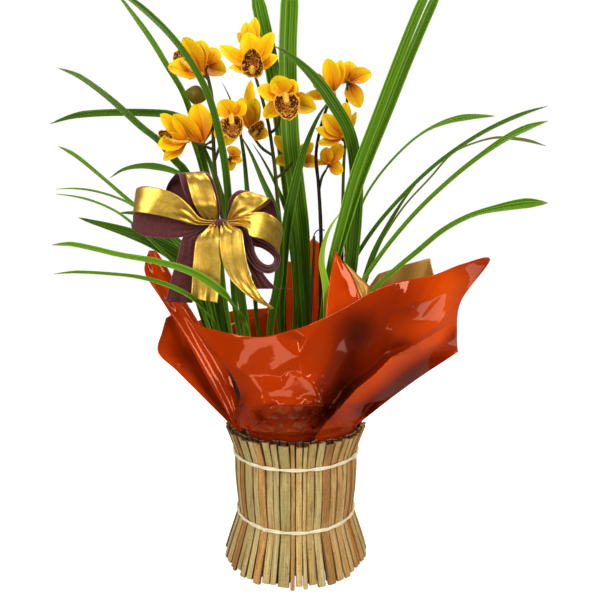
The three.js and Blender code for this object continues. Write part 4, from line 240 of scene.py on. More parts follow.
def crom_even(points, n):
    """n + 1 points through the control points, evenly in control-point index"""
    P = [v3(p) for p in points]
    m = len(P) - 1
    ext = [P[0] * 2 - P[1]] + P + [P[-1] * 2 - P[-2]]
    out = []
    for i in range(n + 1):
        x = m * i / n
        k = min(m - 1, int(x))
        s = x - k
        p0, p1, p2, p3 = ext[k], ext[k + 1], ext[k + 2], ext[k + 3]
        out.append(0.5 * ((2 * p1) + (p2 - p0) * s + (2 * p0 - 5 * p1 + 4 * p2 - p3) * s * s + (3 * p1 - p0 - 3 * p2 + p3) * s ** 3))
    return out


def lerp(a, b, t):
    return a + (b - a) * t


def smooth(a, b, x):
    t = max(0.0, min(1.0, (x - a) / (b - a)))
    return t * t * (3 - 2 * t)


def nz(x, y=0.0, z=0.0):
    return noise.noise(Vector((x, y, z)))


# ---------------------------------------------------------------- mesh builder
class Builder:
    def __init__(self):
        self.v, self.f, self.m, self.uv, self.tone = [], [], [], [], []

    def vert(self, p, uv=(0, 0), tone=0.5):
        self.v.append((p.x * MM, p.y * MM, p.z * MM))
        self.uv.append(uv)
        self.tone.append(tone)
        return len(self.v) - 1

    def sheet(self, G, thick, mtop=0, mbot=None, uv=None, tone=0.5, closed_j=False):
        """a closed thin solid over a grid of points, G[i][j]"""
        mbot = mtop if mbot is None else mbot
        n, m = len(G) - 1, len(G[0]) - 1
        top, bot = [], []
        for i in range(n + 1):
            rt, rb = [], []
            for j in range(m + 1):
                a = G[min(n, i + 1)][j] - G[max(0, i - 1)][j]
                b = G[i][min(m, j + 1)] - G[i][max(0, j - 1)]
                N = a.cross(b)
                if N.length < 1e-9:
                    N = Vector((0, 0, 1))
                N.normalize()
                u = uv(i / n, j / m) if uv else (j / m, i / n)
                tn = tone(i / n, j / m) if callable(tone) else tone
                t = thick(i / n, j / m) if callable(thick) else thick
                rt.append(self.vert(G[i][j] + N * t / 2, u, tn))
                rb.append(self.vert(G[i][j] - N * t / 2, u, tn))
            top.append(rt)
            bot.append(rb)
        for i in range(n):
            for j in range(m):
                self.f.append((top[i][j], top[i + 1][j], top[i + 1][j + 1], top[i][j + 1]))
                self.m.append(mtop)
                self.f.append((bot[i][j], bot[i][j + 1], bot[i + 1][j + 1], bot[i + 1][j]))
                self.m.append(mbot)
        for i in range(n):
            self.f.append((top[i][0], bot[i][0], bot[i + 1][0], top[i + 1][0]))
            self.m.append(mtop)
            self.f.append((top[i][m], top[i + 1][m], bot[i + 1][m], bot[i][m]))
            self.m.append(mtop)
        for j in range(m):
            self.f.append((top[0][j], top[0][j + 1], bot[0][j + 1], bot[0][j]))
            self.m.append(mtop)
            self.f.append((top[n][j], bot[n][j], bot[n][j + 1], top[n][j + 1]))
            self.m.append(mtop)

    def rings(self, R, mat=0, tone=0.5, cap=True, uvs=None):
        """a closed loft through rings of points"""
        n, k = len(R), len(R[0])
        idx = []
        for i, r in enumerate(R):
            tn = tone(i / max(1, n - 1)) if callable(tone) else tone
            idx.append([self.vert(p, uvs[i][j] if uvs else (j / k, i / max(1, n - 1)), tn) for j, p in enumerate(r)])
        for i in range(n - 1):
            for j in range(k):
                a, b = idx[i][j], idx[i][(j + 1) % k]
                c, d = idx[i + 1][(j + 1) % k], idx[i + 1][j]
                self.f.append((a, b, c, d))
                self.m.append(mat)
        if cap:
            for i, rev in ((0, True), (n - 1, False)):
                c = sum((v3(p) for p in R[i]), Vector()) / k
                tn = tone(i / max(1, n - 1)) if callable(tone) else tone
                q = self.vert(c, (0.5, i / max(1, n - 1)), tn)
                for j in range(k):
                    a, b = idx[i][j], idx[i][(j + 1) % k]
                    self.f.append((b, a, q) if rev else (a, b, q))
                    self.m.append(mat)

    def tube(self, pts, rad, sides=10, mat=0, tone=0.5, n=None, squash=1.0):
        c = crom(pts, n or max(4, len(pts) * 5)) if n != 0 else [v3(p) for p in pts]
        N = len(c) - 1
        ref = Vector((0.3, 1, 0.1)).normalized()
        R = []
        prev = None
        for i, p in enumerate(c):
            t = (c[min(N, i + 1)] - c[max(0, i - 1)]).normalized()
            a = prev if prev is not None else ref
            a = a - t * a.dot(t)
            if a.length < 1e-4:
                a = t.orthogonal()
            a.normalize()
            prev = a
            b = t.cross(a)
            r = rad(i / N) if callable(rad) else rad
            R.append([p + a * (r * math.cos(q)) + b * (r * squash * math.sin(q)) for q in [2 * math.pi * s / sides for s in range(sides)]])
        self.rings(R, mat, tone)

    def ball(self, c, r, mat=0, tone=0.5, seg=14, axis=None, stretch=1.0, bump=0.0, seed=0):
        z = (axis or Vector((0, 0, 1))).normalized()
        x = z.orthogonal().normalized()
        y = z.cross(x)
        R = []
        for i in range(1, seg):
            th = math.pi * i / seg
            ring = []
            for j in range(seg + 4):
                ph = 2 * math.pi * j / (seg + 4)
                d = x * (math.sin(th) * math.cos(ph)) + y * (math.sin(th) * math.sin(ph)) - z * (math.cos(th) * stretch)
                k = r * (1 + bump * nz(d.x * 3 + seed, d.y * 3, d.z * 3))
                ring.append(c + d * k)
            R.append(ring)
        self.rings(R, mat, tone)

    def build(self, name, mats, smooth_shade=True, body="root", replaces=(), autosmooth=None):
        me = bpy.data.meshes.new(name)
        me.from_pydata(self.v, [], self.f)
        for m in mats:
            me.materials.append(m)
        me.polygons.foreach_set("material_index", self.m)
        me.polygons.foreach_set("use_smooth", [smooth_shade] * len(self.f))
        uvl = me.uv_layers.new(name="UVMap")
        loops = [0] * len(me.loops)
        me.loops.foreach_get("vertex_index", loops)
        flat = []
        for i in loops:
            flat.extend(self.uv[i])
        uvl.data.foreach_set("uv", flat)
        at = me.attributes.new("tone", "FLOAT", "POINT")
        at.data.foreach_set("value", self.tone)
        me.update()
        o = bpy.data.objects.new(name, me)
        sc.collection.objects.link(o)
        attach(o, body)
        if replaces:
            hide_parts(*replaces)
        if autosmooth is not None:
            me.set_sharp_from_angle(angle=math.radians(autosmooth))
        return o


# ---------------------------------------------------------------- materials
def lin(c):
    c = c / 255.0
    return c / 12.92 if c <= 0.04045 else ((c + 0.055) / 1.055) ** 2.4


def rgb(r, g, b):
    return (lin(r), lin(g), lin(b), 1.0)


class Mat:
    """a small helper for node materials"""

    def __init__(self, name, rough=0.5, metal=0.0, spec=0.5, coat=0.0, coat_rough=0.1, sheen=0.0, sss=0.0, aniso=0.0, ior=1.45):
        self.mat = bpy.data.materials.new(name)
        self.mat.use_nodes = True
        self.nt = self.mat.node_tree
        self.N = self.nt.nodes
        self.L = self.nt.links
        self.b = self.N["Principled BSDF"]
        i = self.b.inputs
        i["Roughness"].default_value = rough
        i["Metallic"].default_value = metal
        i["Specular IOR Level"].default_value = spec
        i["Coat Weight"].default_value = coat
        i["Coat Roughness"].default_value = coat_rough
        i["Sheen Weight"].default_value = sheen
        i["Anisotropic"].default_value = aniso
        i["IOR"].default_value = ior
        if sss:
            i["Subsurface Weight"].default_value = sss
            i["Subsurface Radius"].default_value = (1.0, 0.6, 0.2)
            i["Subsurface Scale"].default_value = 0.003

    def node(self, kind, **kw):
        n = self.N.new(kind)
        for k, val in kw.items():
            if k in n.inputs:
                n.inputs[k].default_value = val
            else:
                setattr(n, k, val)
        return n

    def uv(self):
        if not hasattr(self, "_uv"):
            t = self.N.new("ShaderNodeTexCoord")
            s = self.N.new("ShaderNodeSeparateXYZ")
            self.L.new(t.outputs["UV"], s.inputs[0])
            self._uv = t.outputs["UV"]
            self._obj = t.outputs["Object"]
            self._ux, self._uy = s.outputs[0], s.outputs[1]
        return self._uv

    def ux(self):
        self.uv()
        return self._ux

    def uy(self):
        self.uv()
        return self._uy

    def obj(self):
        self.uv()
        return self._obj

    def tone(self):
        a = self.N.new("ShaderNodeAttribute")
        a.attribute_name = "tone"
        return a.outputs["Fac"]

    def math(self, op, a, b=None, c=None, clamp=False):
        n = self.N.new("ShaderNodeMath")
        n.operation = op
        n.use_clamp = clamp
        for k, x in enumerate((a, b, c)):
            if x is None:
                continue
            if isinstance(x, (int, float)):
                n.inputs[k].default_value = x
            else:
                self.L.new(x, n.inputs[k])
        return n.outputs[0]

    def mapping(self, src, scale=(1, 1, 1), loc=(0, 0, 0), rot=(0, 0, 0)):
        m = self.N.new("ShaderNodeMapping")
        m.inputs["Scale"].default_value = scale
        m.inputs["Location"].default_value = loc
        m.inputs["Rotation"].default_value = rot
        self.L.new(src, m.inputs["Vector"])
        return m.outputs[0]

    def noise(self, src, scale=5.0, detail=3.0, rough=0.55, dist=0.0):
        n = self.N.new("ShaderNodeTexNoise")
        n.inputs["Scale"].default_value = scale
        n.inputs["Detail"].default_value = detail
        n.inputs["Roughness"].default_value = rough
        n.inputs["Distortion"].default_value = dist
        self.L.new(src, n.inputs["Vector"])
        return n.outputs["Fac"]

    def voronoi(self, src, scale=5.0, feature="F1", rand=1.0):
        n = self.N.new("ShaderNodeTexVoronoi")
        n.feature = feature
        n.inputs["Scale"].default_value = scale
        n.inputs["Randomness"].default_value = rand
        self.L.new(src, n.inputs["Vector"])
        return n.outputs["Distance"]

    def wave(self, src, scale=5.0, dist=0.0, direction="X", dscale=1.0, detail=1.0, profile="SIN"):
        n = self.N.new("ShaderNodeTexWave")
        n.bands_direction = direction
        n.wave_profile = profile
        n.inputs["Scale"].default_value = scale
        n.inputs["Distortion"].default_value = dist
        n.inputs["Detail"].default_value = detail
        n.inputs["Detail Scale"].default_value = dscale
        self.L.new(src, n.inputs["Vector"])
        return n.outputs["Fac"]

    def ramp(self, fac, stops, interp="LINEAR"):
        n = self.N.new("ShaderNodeValToRGB")
        n.color_ramp.interpolation = interp
        e = n.color_ramp.elements
        while len(e) < len(stops):
            e.new(0.5)
        for k, (p, c) in enumerate(stops):
            e[k].position = p
            e[k].color = c if len(c) == 4 else (*c, 1)
        self.L.new(fac, n.inputs[0])
        return n.outputs[0]

    def mix(self, fac, a, b, mode="MIX"):
        n = self.N.new("ShaderNodeMix")
        n.data_type = "RGBA"
        n.blend_type = mode
        for sock, x in ((n.inputs[0], fac), (n.inputs[6], a), (n.inputs[7], b)):
            if isinstance(x, (int, float)):
                sock.default_value = x
            elif isinstance(x, tuple):
                sock.default_value = x
            else:
                self.L.new(x, sock)
        return n.outputs[2]

    def bump(self, h, strength=0.3, dist=0.001):
        n = self.N.new("ShaderNodeBump")
        n.inputs["Strength"].default_value = strength
        n.inputs["Distance"].default_value = dist
        self.L.new(h, n.inputs["Height"])
        self.L.new(n.outputs[0], self.b.inputs["Normal"])

    def color(self, c):
        if isinstance(c, tuple):
            self.b.inputs["Base Color"].default_value = c
        else:
            self.L.new(c, self.b.inputs["Base Color"])

    def rough(self, r):
        self.L.new(r, self.b.inputs["Roughness"])


def leaf_material(name, dark, light, edge, dry=0.0):
    m = Mat(name, rough=0.40, spec=0.19, sss=0.0)
    m.b.inputs["Specular Tint"].default_value = (0.75, 1.0, 0.40, 1.0)
    uv = m.uv()
    # fine parallel veins running the length of the blade
    veins = m.noise(m.mapping(uv, (17, 0.5, 1)), scale=1.0, detail=1.0)
    broad = m.noise(m.mapping(uv, (3, 2.2, 1)), scale=1.3, detail=2.0)
    fine = m.noise(m.mapping(uv, (40, 3, 1)), scale=1.0, detail=1.0)
    f = m.math("ADD", m.math("MULTIPLY", veins, 0.55), m.math("MULTIPLY", broad, 0.5), clamp=True)
    base = m.ramp(f, [(0.30, dark), (0.72, light)])
    # darker midrib line, and a pale line along the blade's margin that is a painted highlight
    d = m.math("ABSOLUTE", m.math("SUBTRACT", m.ux(), 0.5))
    rib = m.math("SMOOTH_MIN", m.math("MULTIPLY", d, 30.0), 1.0, 0.3)
    lines = m.ramp(m.noise(m.mapping(uv, (12, 0.2, 1)), scale=1.0, detail=0.5), [(0.50, (0, 0, 0)), (0.64, (0.45, 0.45, 0.45))])
    base = m.mix(lines, base, edge)
    col = m.mix(m.math("SUBTRACT", 1.0, rib, clamp=True), base, dark)
    # painted highlight: the margin of the blade is paled towards the edge colour
    rim = m.math("GREATER_THAN", d, 0.455)
    col = m.mix(m.math("MULTIPLY", rim, 0.7), col, edge)
    # a touch of tan at the tip
    tip = m.math("GREATER_THAN", m.math("ADD", m.uy(), m.math("MULTIPLY", fine, 0.02)), 0.997)
    col = m.mix(m.math("MULTIPLY", tip, 0.8), col, rgb(150, 120, 60))
    # painted shade: the tone attribute darkens the colour by up to about half, towards the blade's base and on blades
    # given a low shade factor
    tn = m.tone()
    col = m.mix(m.math("MULTIPLY", tn, 1.0, clamp=True), m.mix(0.55, col, (0.012, 0.03, 0.006, 1)), col)
    m.color(col)
    m.rough(m.math("ADD", 0.34, m.math("MULTIPLY", fine, 0.18)))
    m.bump(m.math("ADD", m.math("MULTIPLY", veins, 0.9), m.math("MULTIPLY", fine, 0.1)), 0.16, 0.0006)
    return m.mat


M_LEAF = {
    "dark": leaf_material("leaf_dark", rgb(20, 48, 3), rgb(66, 106, 8), rgb(120, 160, 44)),
    "mid": leaf_material("leaf_mid", rgb(34, 72, 3), rgb(96, 142, 10), rgb(150, 194, 58)),
    "bright": leaf_material("leaf_bright", rgb(86, 140, 8), rgb(158, 200, 34), rgb(196, 220, 90)),
    "pale": leaf_material("leaf_pale", rgb(96, 150, 40), rgb(160, 202, 84), rgb(196, 222, 130)),
    "dry": leaf_material("leaf_dry", rgb(62, 74, 24), rgb(108, 112, 44), rgb(150, 140, 76)),
}


def petal_material(name, deep, gold, bright):
    m = Mat(name, rough=0.46, spec=0.20, sss=0.06)
    m.b.inputs["Specular Tint"].default_value = (1.0, 0.85, 0.35, 1.0)
    uv = m.uv()
    v = m.uy()
    w = m.noise(m.mapping(uv, (3.0, 1.6, 1)), scale=1.6, detail=3.0)
    d = m.math("ABSOLUTE", m.math("SUBTRACT", m.ux(), 0.5))
    # reddish at the claw, golden over the blade, clear yellow towards the margin and the tip
    vv = m.math("ADD", m.math("ADD", m.math("MULTIPLY", v, 0.85), m.math("MULTIPLY", d, 0.55)), m.math("MULTIPLY", m.math("SUBTRACT", w, 0.5), 0.40))
    col = m.ramp(vv, [(0.08, deep), (0.33, gold), (0.62, bright), (0.92, rgb(255, 214, 12))])
    veins = m.noise(m.mapping(uv, (30, 1.1, 1)), scale=1.0, detail=3.0)
    vein = m.ramp(veins, [(0.36, (0.55, 0.55, 0.55)), (0.47, (0, 0, 0))])
    fade = m.math("SUBTRACT", 1.15, v, clamp=True)
    col = m.mix(m.math("MULTIPLY", vein, fade), col, deep)
    mid = m.math("LESS_THAN", d, 0.012)
    col = m.mix(m.math("MULTIPLY", mid, 0.45), col, deep)
    tn = m.tone()
    col = m.mix(m.math("SUBTRACT", 1.0, tn, clamp=True), col, m.mix(0.5, col, deep))
    m.color(col)
    m.bump(m.math("ADD", veins, m.math("MULTIPLY", w, 0.5)), 0.35, 0.0006)
    return m.mat


M_PETAL = petal_material("petal", rgb(158, 50, 4), rgb(230, 134, 3), rgb(250, 180, 4))
M_PETAL_BACK = petal_material("petal_back", rgb(126, 36, 8), rgb(218, 116, 4), rgb(248, 176, 6))


def lip_material():
    m = Mat("lip", rough=0.45, spec=0.2, sss=0.08)
    uv = m.uv()
    n1 = m.noise(m.mapping(uv, (4, 4, 1)), scale=1.0, detail=2.0)
    warp = m.noise(m.mapping(uv, (9, 9, 1)), scale=1.0, detail=2.0)
    cells = m.voronoi(m.mapping(uv, (15, 15, 1)), scale=1.0, rand=0.85)
    base = m.ramp(n1, [(0.3, rgb(232, 150, 22)), (0.7, rgb(246, 190, 52))])
    rho = m.tone()
    # brownish throat, then blotches that grow and crowd towards the margin, which stays pale
    throat = m.ramp(rho, [(0.0, (0.95, 0.95, 0.95)), (0.34, (0.65, 0.65, 0.65)), (0.58, (0, 0, 0))])
    col = m.mix(throat, base, rgb(150, 56, 16))
    grow = m.ramp(rho, [(0.10, (0.34, 0.34, 0.34)), (0.42, (0.50, 0.50, 0.50)), (0.66, (0.70, 0.70, 0.70)), (0.90, (0.66, 0.66, 0.66)), (0.97, (0.16, 0.16, 0.16))])
    size = m.math("ADD", grow, m.math("MULTIPLY", m.math("SUBTRACT", warp, 0.5), 0.30))
    spots = m.math("LESS_THAN", cells, size)
    rim = m.math("LESS_THAN", rho, 0.945)
    col = m.mix(m.math("MULTIPLY", m.math("MULTIPLY", spots, rim), 0.95), col, rgb(70, 6, 8))
    m.color(col)
    m.bump(m.math("ADD", warp, m.math("MULTIPLY", cells, -0.3)), 0.4, 0.0008)
    return m.mat


M_LIP = lip_material()


def column_material():
    m = Mat("column", rough=0.4, spec=0.35, sss=0.15)
    n = m.noise(m.mapping(m.obj(), (1, 1, 1)), scale=260, detail=2.0)
    c = m.voronoi(m.mapping(m.obj(), (1, 1, 1)), scale=420)
    col = m.ramp(n, [(0.3, rgb(226, 140, 22)), (0.7, rgb(252, 208, 70))])
    m.color(m.mix(m.math("MULTIPLY", m.math("LESS_THAN", c, 0.24), 0.8), col, rgb(120, 34, 20)))
    m.bump(n, 0.3, 0.0005)
    return m.mat


def simple(name, c1, c2, scale=40, rough=0.5, stretch=(1, 1, 1), bump=0.2, dist=0.0005, **kw):
    m = Mat(name, rough=rough, **kw)
    n = m.noise(m.mapping(m.obj(), stretch), scale=scale, detail=4.0)
    n2 = m.noise(m.mapping(m.obj(), stretch, loc=(3, 1, 7)), scale=scale * 6, detail=3.0)
    col = m.ramp(m.math("ADD", m.math("MULTIPLY", n, 0.7), m.math("MULTIPLY", n2, 0.3)), [(0.32, c1), (0.68, c2)])
    m.color(col)
    m.rough(m.math("ADD", rough - 0.08, m.math("MULTIPLY", n2, 0.16)))
    m.bump(n2, bump, dist)
    return m.mat


M_COLUMN = column_material()
M_STEM = simple("stem_green", rgb(34, 38, 8), rgb(84, 86, 20), scale=90, rough=0.6, stretch=(1, 1, 0.25), spec=0.12)
M_STEM_DARK = simple("stem_dark", rgb(22, 16, 8), rgb(60, 42, 20), scale=90, rough=0.6, stretch=(1, 1, 0.25), spec=0.12)
M_BUD = simple("bud_skin", rgb(66, 48, 8), rgb(128, 112, 22), scale=60, rough=0.46, spec=0.2)
M_STAKE = simple("stake_wood", rgb(58, 36, 22), rgb(112, 74, 44), scale=70, rough=0.7, stretch=(1, 1, 0.12))
M_WIRE = simple("wire", rgb(18, 20, 18), rgb(40, 44, 38), scale=200, rough=0.4)
M_POT = simple("pot_plastic", rgb(20, 20, 20), rgb(38, 37, 36), scale=120, rough=0.5)
M_DISC = simple("plywood", rgb(160, 124, 80), rgb(204, 170, 122), scale=30, rough=0.75, stretch=(1, 0.15, 1))
M_BULB = simple("pseudobulb_skin", rgb(92, 120, 40), rgb(150, 168, 72), scale=60, rough=0.45, stretch=(1, 1, 0.2))
M_SHEATH = simple("sheath", rgb(150, 126, 74), rgb(196, 176, 120), scale=80, rough=0.6, stretch=(1, 1, 0.15))


def bark_material():
    m = Mat("bark", rough=0.9, spec=0.25)
    t = m.tone()
    n = m.noise(m.mapping(m.obj(), (1, 1, 1)), scale=160, detail=5.0)
    base = m.ramp(t, [(0.0, rgb(52, 32, 20)), (0.5, rgb(96, 62, 38)), (1.0, rgb(140, 96, 60))])
    m.color(m.mix(m.math("MULTIPLY", n, 0.7), base, rgb(34, 22, 14)))
    m.bump(n, 0.6, 0.001)
    return m.mat


M_BARK = bark_material()


def reed_material():
    m = Mat("reed", rough=0.72, spec=0.3)
    uv = m.uv()
    t = m.tone()
    # each slat has its own tone, from straw through tan to orange-brown; the two dark browns at the low end of the ramp
    # are painted shade, used for the layer behind
    base = m.ramp(t, [(0.0, rgb(52, 34, 20)), (0.05, rgb(78, 52, 30)), (0.07, rgb(150, 102, 50)), (0.14, rgb(208, 152, 82)), (0.26, rgb(236, 192, 116)), (0.40, rgb(244, 212, 142)), (0.52, rgb(198, 178, 108)), (0.64, rgb(240, 206, 132)), (0.76, rgb(206, 184, 112)), (0.88, rgb(228, 162, 84)), (1.0, rgb(194, 118, 50))])
    shift = m.math("MULTIPLY", t, 37.0)
    cm = m.N.new("ShaderNodeCombineXYZ")
    m.L.new(m.math("ADD", m.ux(), shift), cm.inputs[0])
    m.L.new(m.uy(), cm.inputs[1])
    uvs = cm.outputs[0]
    grain = m.noise(m.mapping(uvs, (22, 1.6, 1)), scale=1.0, detail=4.0)
    fine = m.noise(m.mapping(uvs, (90, 5, 1)), scale=1.0, detail=3.0)
    blotch = m.noise(m.mapping(uvs, (2.6, 3.4, 1)), scale=1.0, detail=4.0, rough=0.65)
    speck = m.noise(m.mapping(uvs, (34, 24, 1)), scale=1.0, detail=2.0)
    col = m.mix(m.ramp(grain, [(0.36, (1, 1, 1)), (0.62, (0, 0, 0))]), base, m.mix(0.6, base, rgb(96, 62, 30)))
    col = m.mix(m.ramp(blotch, [(0.54, (0, 0, 0)), (0.76, (0.7, 0.7, 0.7))]), col, rgb(134, 92, 48))
    col = m.mix(m.ramp(blotch, [(0.28, (0.5, 0.5, 0.5)), (0.44, (0, 0, 0))]), col, rgb(226, 204, 150))
    col = m.mix(m.ramp(speck, [(0.62, (0, 0, 0)), (0.67, (0.9, 0.9, 0.9))]), col, rgb(58, 36, 20))
    # darker edges along each slat: painted shade in the gaps between slats
    ed = m.math("ABSOLUTE", m.math("SUBTRACT", m.ux(), 0.25))
    ed = m.math("ADD", ed, m.math("MULTIPLY", m.math("SUBTRACT", blotch, 0.5), 0.10))
    col = m.mix(m.ramp(ed, [(0.205, (0, 0, 0)), (0.240, (0.8, 0.8, 0.8))]), col, rgb(74, 48, 26))
    m.color(col)
    m.rough(m.math("ADD", 0.6, m.math("MULTIPLY", fine, 0.25)))
    m.bump(m.math("ADD", m.math("MULTIPLY", grain, 0.6), m.math("MULTIPLY", fine, 0.5)), 0.5, 0.0008)
    return m.mat


M_REED = reed_material()
M_REED_END = simple("reed_end", rgb(112, 78, 44), rgb(184, 148, 98), scale=220, rough=0.85, bump=0.5)
M_RAFFIA = simple("raffia", rgb(228, 210, 162), rgb(252, 244, 216), scale=160, rough=0.75, bump=0.5)


def satin_material():
    m = Mat("gold_satin", rough=0.3, metal=0.86, spec=0.5, aniso=0.5, sheen=0.08)
    uv = m.uv()
    n = m.noise(m.mapping(uv, (2.0, 3.0, 1)), scale=2.0, detail=2.0)
    thread = m.noise(m.mapping(uv, (10, 420, 1)), scale=1.0, detail=1.0)
    streak = m.noise(m.mapping(uv, (34, 0.35, 1)), scale=1.0, detail=3.0)
    # painted sheen: the colour runs lighter and darker in long streaks down the ribbon, over a broad mottle
    col = m.ramp(m.math("ADD", m.math("MULTIPLY", n, 0.6), m.math("MULTIPLY", streak, 0.4)), [(0.30, rgb(198, 146, 34)), (0.70, rgb(244, 204, 88))])
    d = m.math("ABSOLUTE", m.math("SUBTRACT", m.ux(), 0.5))
    sel = m.math("GREATER_THAN", d, 0.485)
    col = m.mix(m.math("MULTIPLY", sel, 0.35), col, rgb(240, 206, 120))
    m.color(col)
    m.rough(m.math("ADD", 0.25, m.math("ADD", m.math("MULTIPLY", thread, 0.10), m.math("MULTIPLY", streak, 0.10))))
    m.bump(m.math("ADD", m.math("MULTIPLY", thread, 0.12), m.math("MULTIPLY", streak, 1.0)), 0.30, 0.0005)
    return m.mat


def maroon_material():
    m = Mat("maroon_cloth", rough=0.72, spec=0.26, sheen=0.26)
    uv = m.uv()
    a = m.wave(m.mapping(uv, (1, 1, 1)), scale=34, direction="X")
    b = m.wave(m.mapping(uv, (1, 1, 1)), scale=190, direction="Y")
    n = m.noise(m.mapping(uv, (3, 8, 1)), scale=1.5, detail=3.0)
    col = m.ramp(n, [(0.3, rgb(62, 15, 15)), (0.7, rgb(96, 33, 31))])
    col = m.mix(m.math("MULTIPLY", m.math("MULTIPLY", a, b), 0.30), col, rgb(142, 72, 72))
    d = m.math("ABSOLUTE", m.math("SUBTRACT", m.ux(), 0.5))
    sel = m.math("GREATER_THAN", d, 0.47)
    col = m.mix(m.math("MULTIPLY", sel, 0.6), col, rgb(150, 92, 100))
    m.color(col)
    m.bump(m.math("MULTIPLY", a, b), 0.25, 0.0003)
    return m.mat


M_GOLD = satin_material()
M_MAROON = maroon_material()


def film_out():
    m = Mat("film_orange", rough=0.045, spec=0.55)
    m.b.inputs["Specular Tint"].default_value = (1.0, 0.40, 0.24, 1.0)
    n = m.noise(m.mapping(m.obj(), (1, 1, 1)), scale=14, detail=3.0)
    cr = m.noise(m.mapping(m.obj(), (1, 1, 1)), scale=46, detail=3.0, dist=0.4)
    tiny = m.noise(m.mapping(m.obj(), (1, 1, 1)), scale=420, detail=2.0)
    # painted light and shade from the tone attribute: dark in the folds and valleys, bright along the pleat and over
    # the wing
    t = m.math("ADD", m.tone(), m.math("MULTIPLY", m.math("SUBTRACT", n, 0.5), 0.25))
    col = m.ramp(t, [(0.0, rgb(74, 18, 3)), (0.28, rgb(132, 34, 3)), (0.5, rgb(180, 52, 3)), (0.75, rgb(216, 70, 3)), (1.0, rgb(244, 86, 4))])
    # the odd scuff where the film has been handled
    scuff = m.ramp(tiny, [(0.68, (0, 0, 0)), (0.76, (0.3, 0.3, 0.3))])
    m.color(m.mix(scuff, col, rgb(196, 76, 26)))
    m.bump(m.math("ADD", cr, m.math("MULTIPLY", tiny, 0.03)), 0.035, 0.001)
    return m.mat


def film_in():
    m = Mat("film_bronze", rough=0.42, metal=0.5, spec=0.5)
    n = m.noise(m.mapping(m.obj(), (1, 1, 1)), scale=30, detail=3.0)
    cr = m.noise(m.mapping(m.obj(), (1, 1, 1)), scale=90, detail=4.0, dist=0.6)
    m.color(m.ramp(n, [(0.3, rgb(168, 112, 40)), (0.7, rgb(204, 150, 68))]))
    m.bump(cr, 0.15, 0.001)
    return m.mat


M_FILM_OUT = film_out()
M_FILM_IN = film_in()

rnd = random.Random(7)

# ---------------------------------------------------------------- holder of reed slats
SLATS, BUNDLES = 56, 4
LEVELS = [(0, 84.0), (26, 75.3), (52, 67.4), (86, 70.0), (121, 71.6), (136, 75.6), (150, 82.0)]


def radius_at(z):
    # drawn in under the two cords, flared straight outside them, slightly bowed between
    if z < 52:
        return lerp(84.0, 67.4, smooth(0, 1, z / 52) * 0.10 + (z / 52) * 0.90)
    if z < 121:
        t = (z - 52) / 69
        return lerp(67.4, 71.6, t) + 1.8 * math.sin(math.pi * t)
    t = (z - 121) / 29
    return lerp(71.6, 82.0, t * 0.9 + 0.1 * t * t)


def slat(bd, ang, width, thick, r_off, top, tone, seed, foot=0.0, lean=0.0, sway=0.5):
    er = Vector((math.cos(ang), math.sin(ang), 0))
    et = Vector((-math.sin(ang), math.cos(ang), 0))
    R, U = [], []
    n = 30
    slant = 1.6 * nz(seed + 3.0, 0.4)
    for i in range(n + 1):
        u = i / n
        z = lerp(foot, top, u)
        r = radius_at(z) + r_off
        w = width * (1 + 0.05 * nz(seed, u * 3.0)) / 2
        sh = lean * (u - 0.35) + sway * nz(seed + 9, u * 2.4)
        rr = r + 0.35 * nz(seed + 30, u * 5.0)
        c = er * rr + et * sh
        bev = 0.6
        prof = [(-w, -bev), (-w + bev, 0), (-w * 0.3, 0.22), (w * 0.3, 0.22), (w - bev, 0), (w, -bev), (w, -thick), (-w, -thick)]
        ring = []
        for k, (x, y) in enumerate(prof):
            dz = 0
            if i == n:
                dz = 0.8 * nz(seed + k * 0.7, 3.3) + slant * x / w
            elif i == 0 and foot > 0.5:
                dz = 0.6 * nz(seed + k * 0.9, 7.3) + 0.6 * slant * x / w
            p = c + et * x + er * y
            ring.append(Vector((p.x, p.y, max(0.0, z + dz))))
        R.append(ring)
        U.append([((x + w) / (2 * w) * 0.5 + (0 if y > -1 else 0.5), z / 75.0) for x, y in prof])
    R = [list(reversed(r)) for r in R]
    U = [list(reversed(q)) for q in U]
    bd.rings(R, 0, tone, True, U)
    for q in range(len(bd.f) - 16, len(bd.f)):
        bd.m[q] = 1


def build_slats():
    # slats of uneven width, side by side and tight at the waist, opening where the ends flare
    rr = random.Random(7)
    quarters = []
    for b in range(BUNDLES):
        count = 15
        wid = [rr.choice((0.62, 0.74, 0.86, 0.95, 1.05, 1.18, 1.35)) * rr.uniform(0.94, 1.06) for _ in range(count)]
        if b == 2:
            wid[13] = 1.62
        if b == 3:
            wid[4] = 1.42
        total = sum(wid)
        at = b * math.pi / 2
        out = []
        for k, w in enumerate(wid):
            span = w / total * math.pi / 2
            out.append((at + span / 2, span * 68.2, b * count + k))
            at += span
        quarters.append(out)
    for b in range(BUNDLES):
        bd = Builder()
        for n, (ang, w, k) in enumerate(quarters[b]):
            rr = random.Random(k * 31 + 5)
            off = (-0.9 if n % 2 else 0.15) + rr.uniform(-0.25, 0.25)
            low = 0.0 if rr.random() < 0.45 else rr.uniform(0.8, 4.0)
            slat(bd, ang, w * (1.02 if n % 2 else 0.95), 3.0, off, 151 - 5.0 * rr.random() ** 1.5, 0.08 + 0.92 * rr.random(), k * 1.7, low, rr.uniform(-1.4, 1.4) if 0 < n < 14 else 0.0)
        # the second layer behind, seen at the top ends and through the gaps, coloured near-black brown as painted shade
        for i in range(15):
            rr = random.Random(b * 171 + i * 17 + 3)
            ang = b * math.pi / 2 + (i + 0.5) / 15 * math.pi / 2
            slat(bd, ang, 6.4, 1.9, -4.35, 150.5 + 3 * rr.random(), 0.01 + rr.random() * 0.03, b * 31.0 + i * 2.3 + 50, 2.0 + 4 * rr.random(), rr.uniform(-0.5, 0.5), 0.3)
        bd.build("slats_quarter_%d" % (b + 1), [M_REED, M_REED_END], replaces=("slat_bundle_%d" % (b + 1),), autosmooth=35)


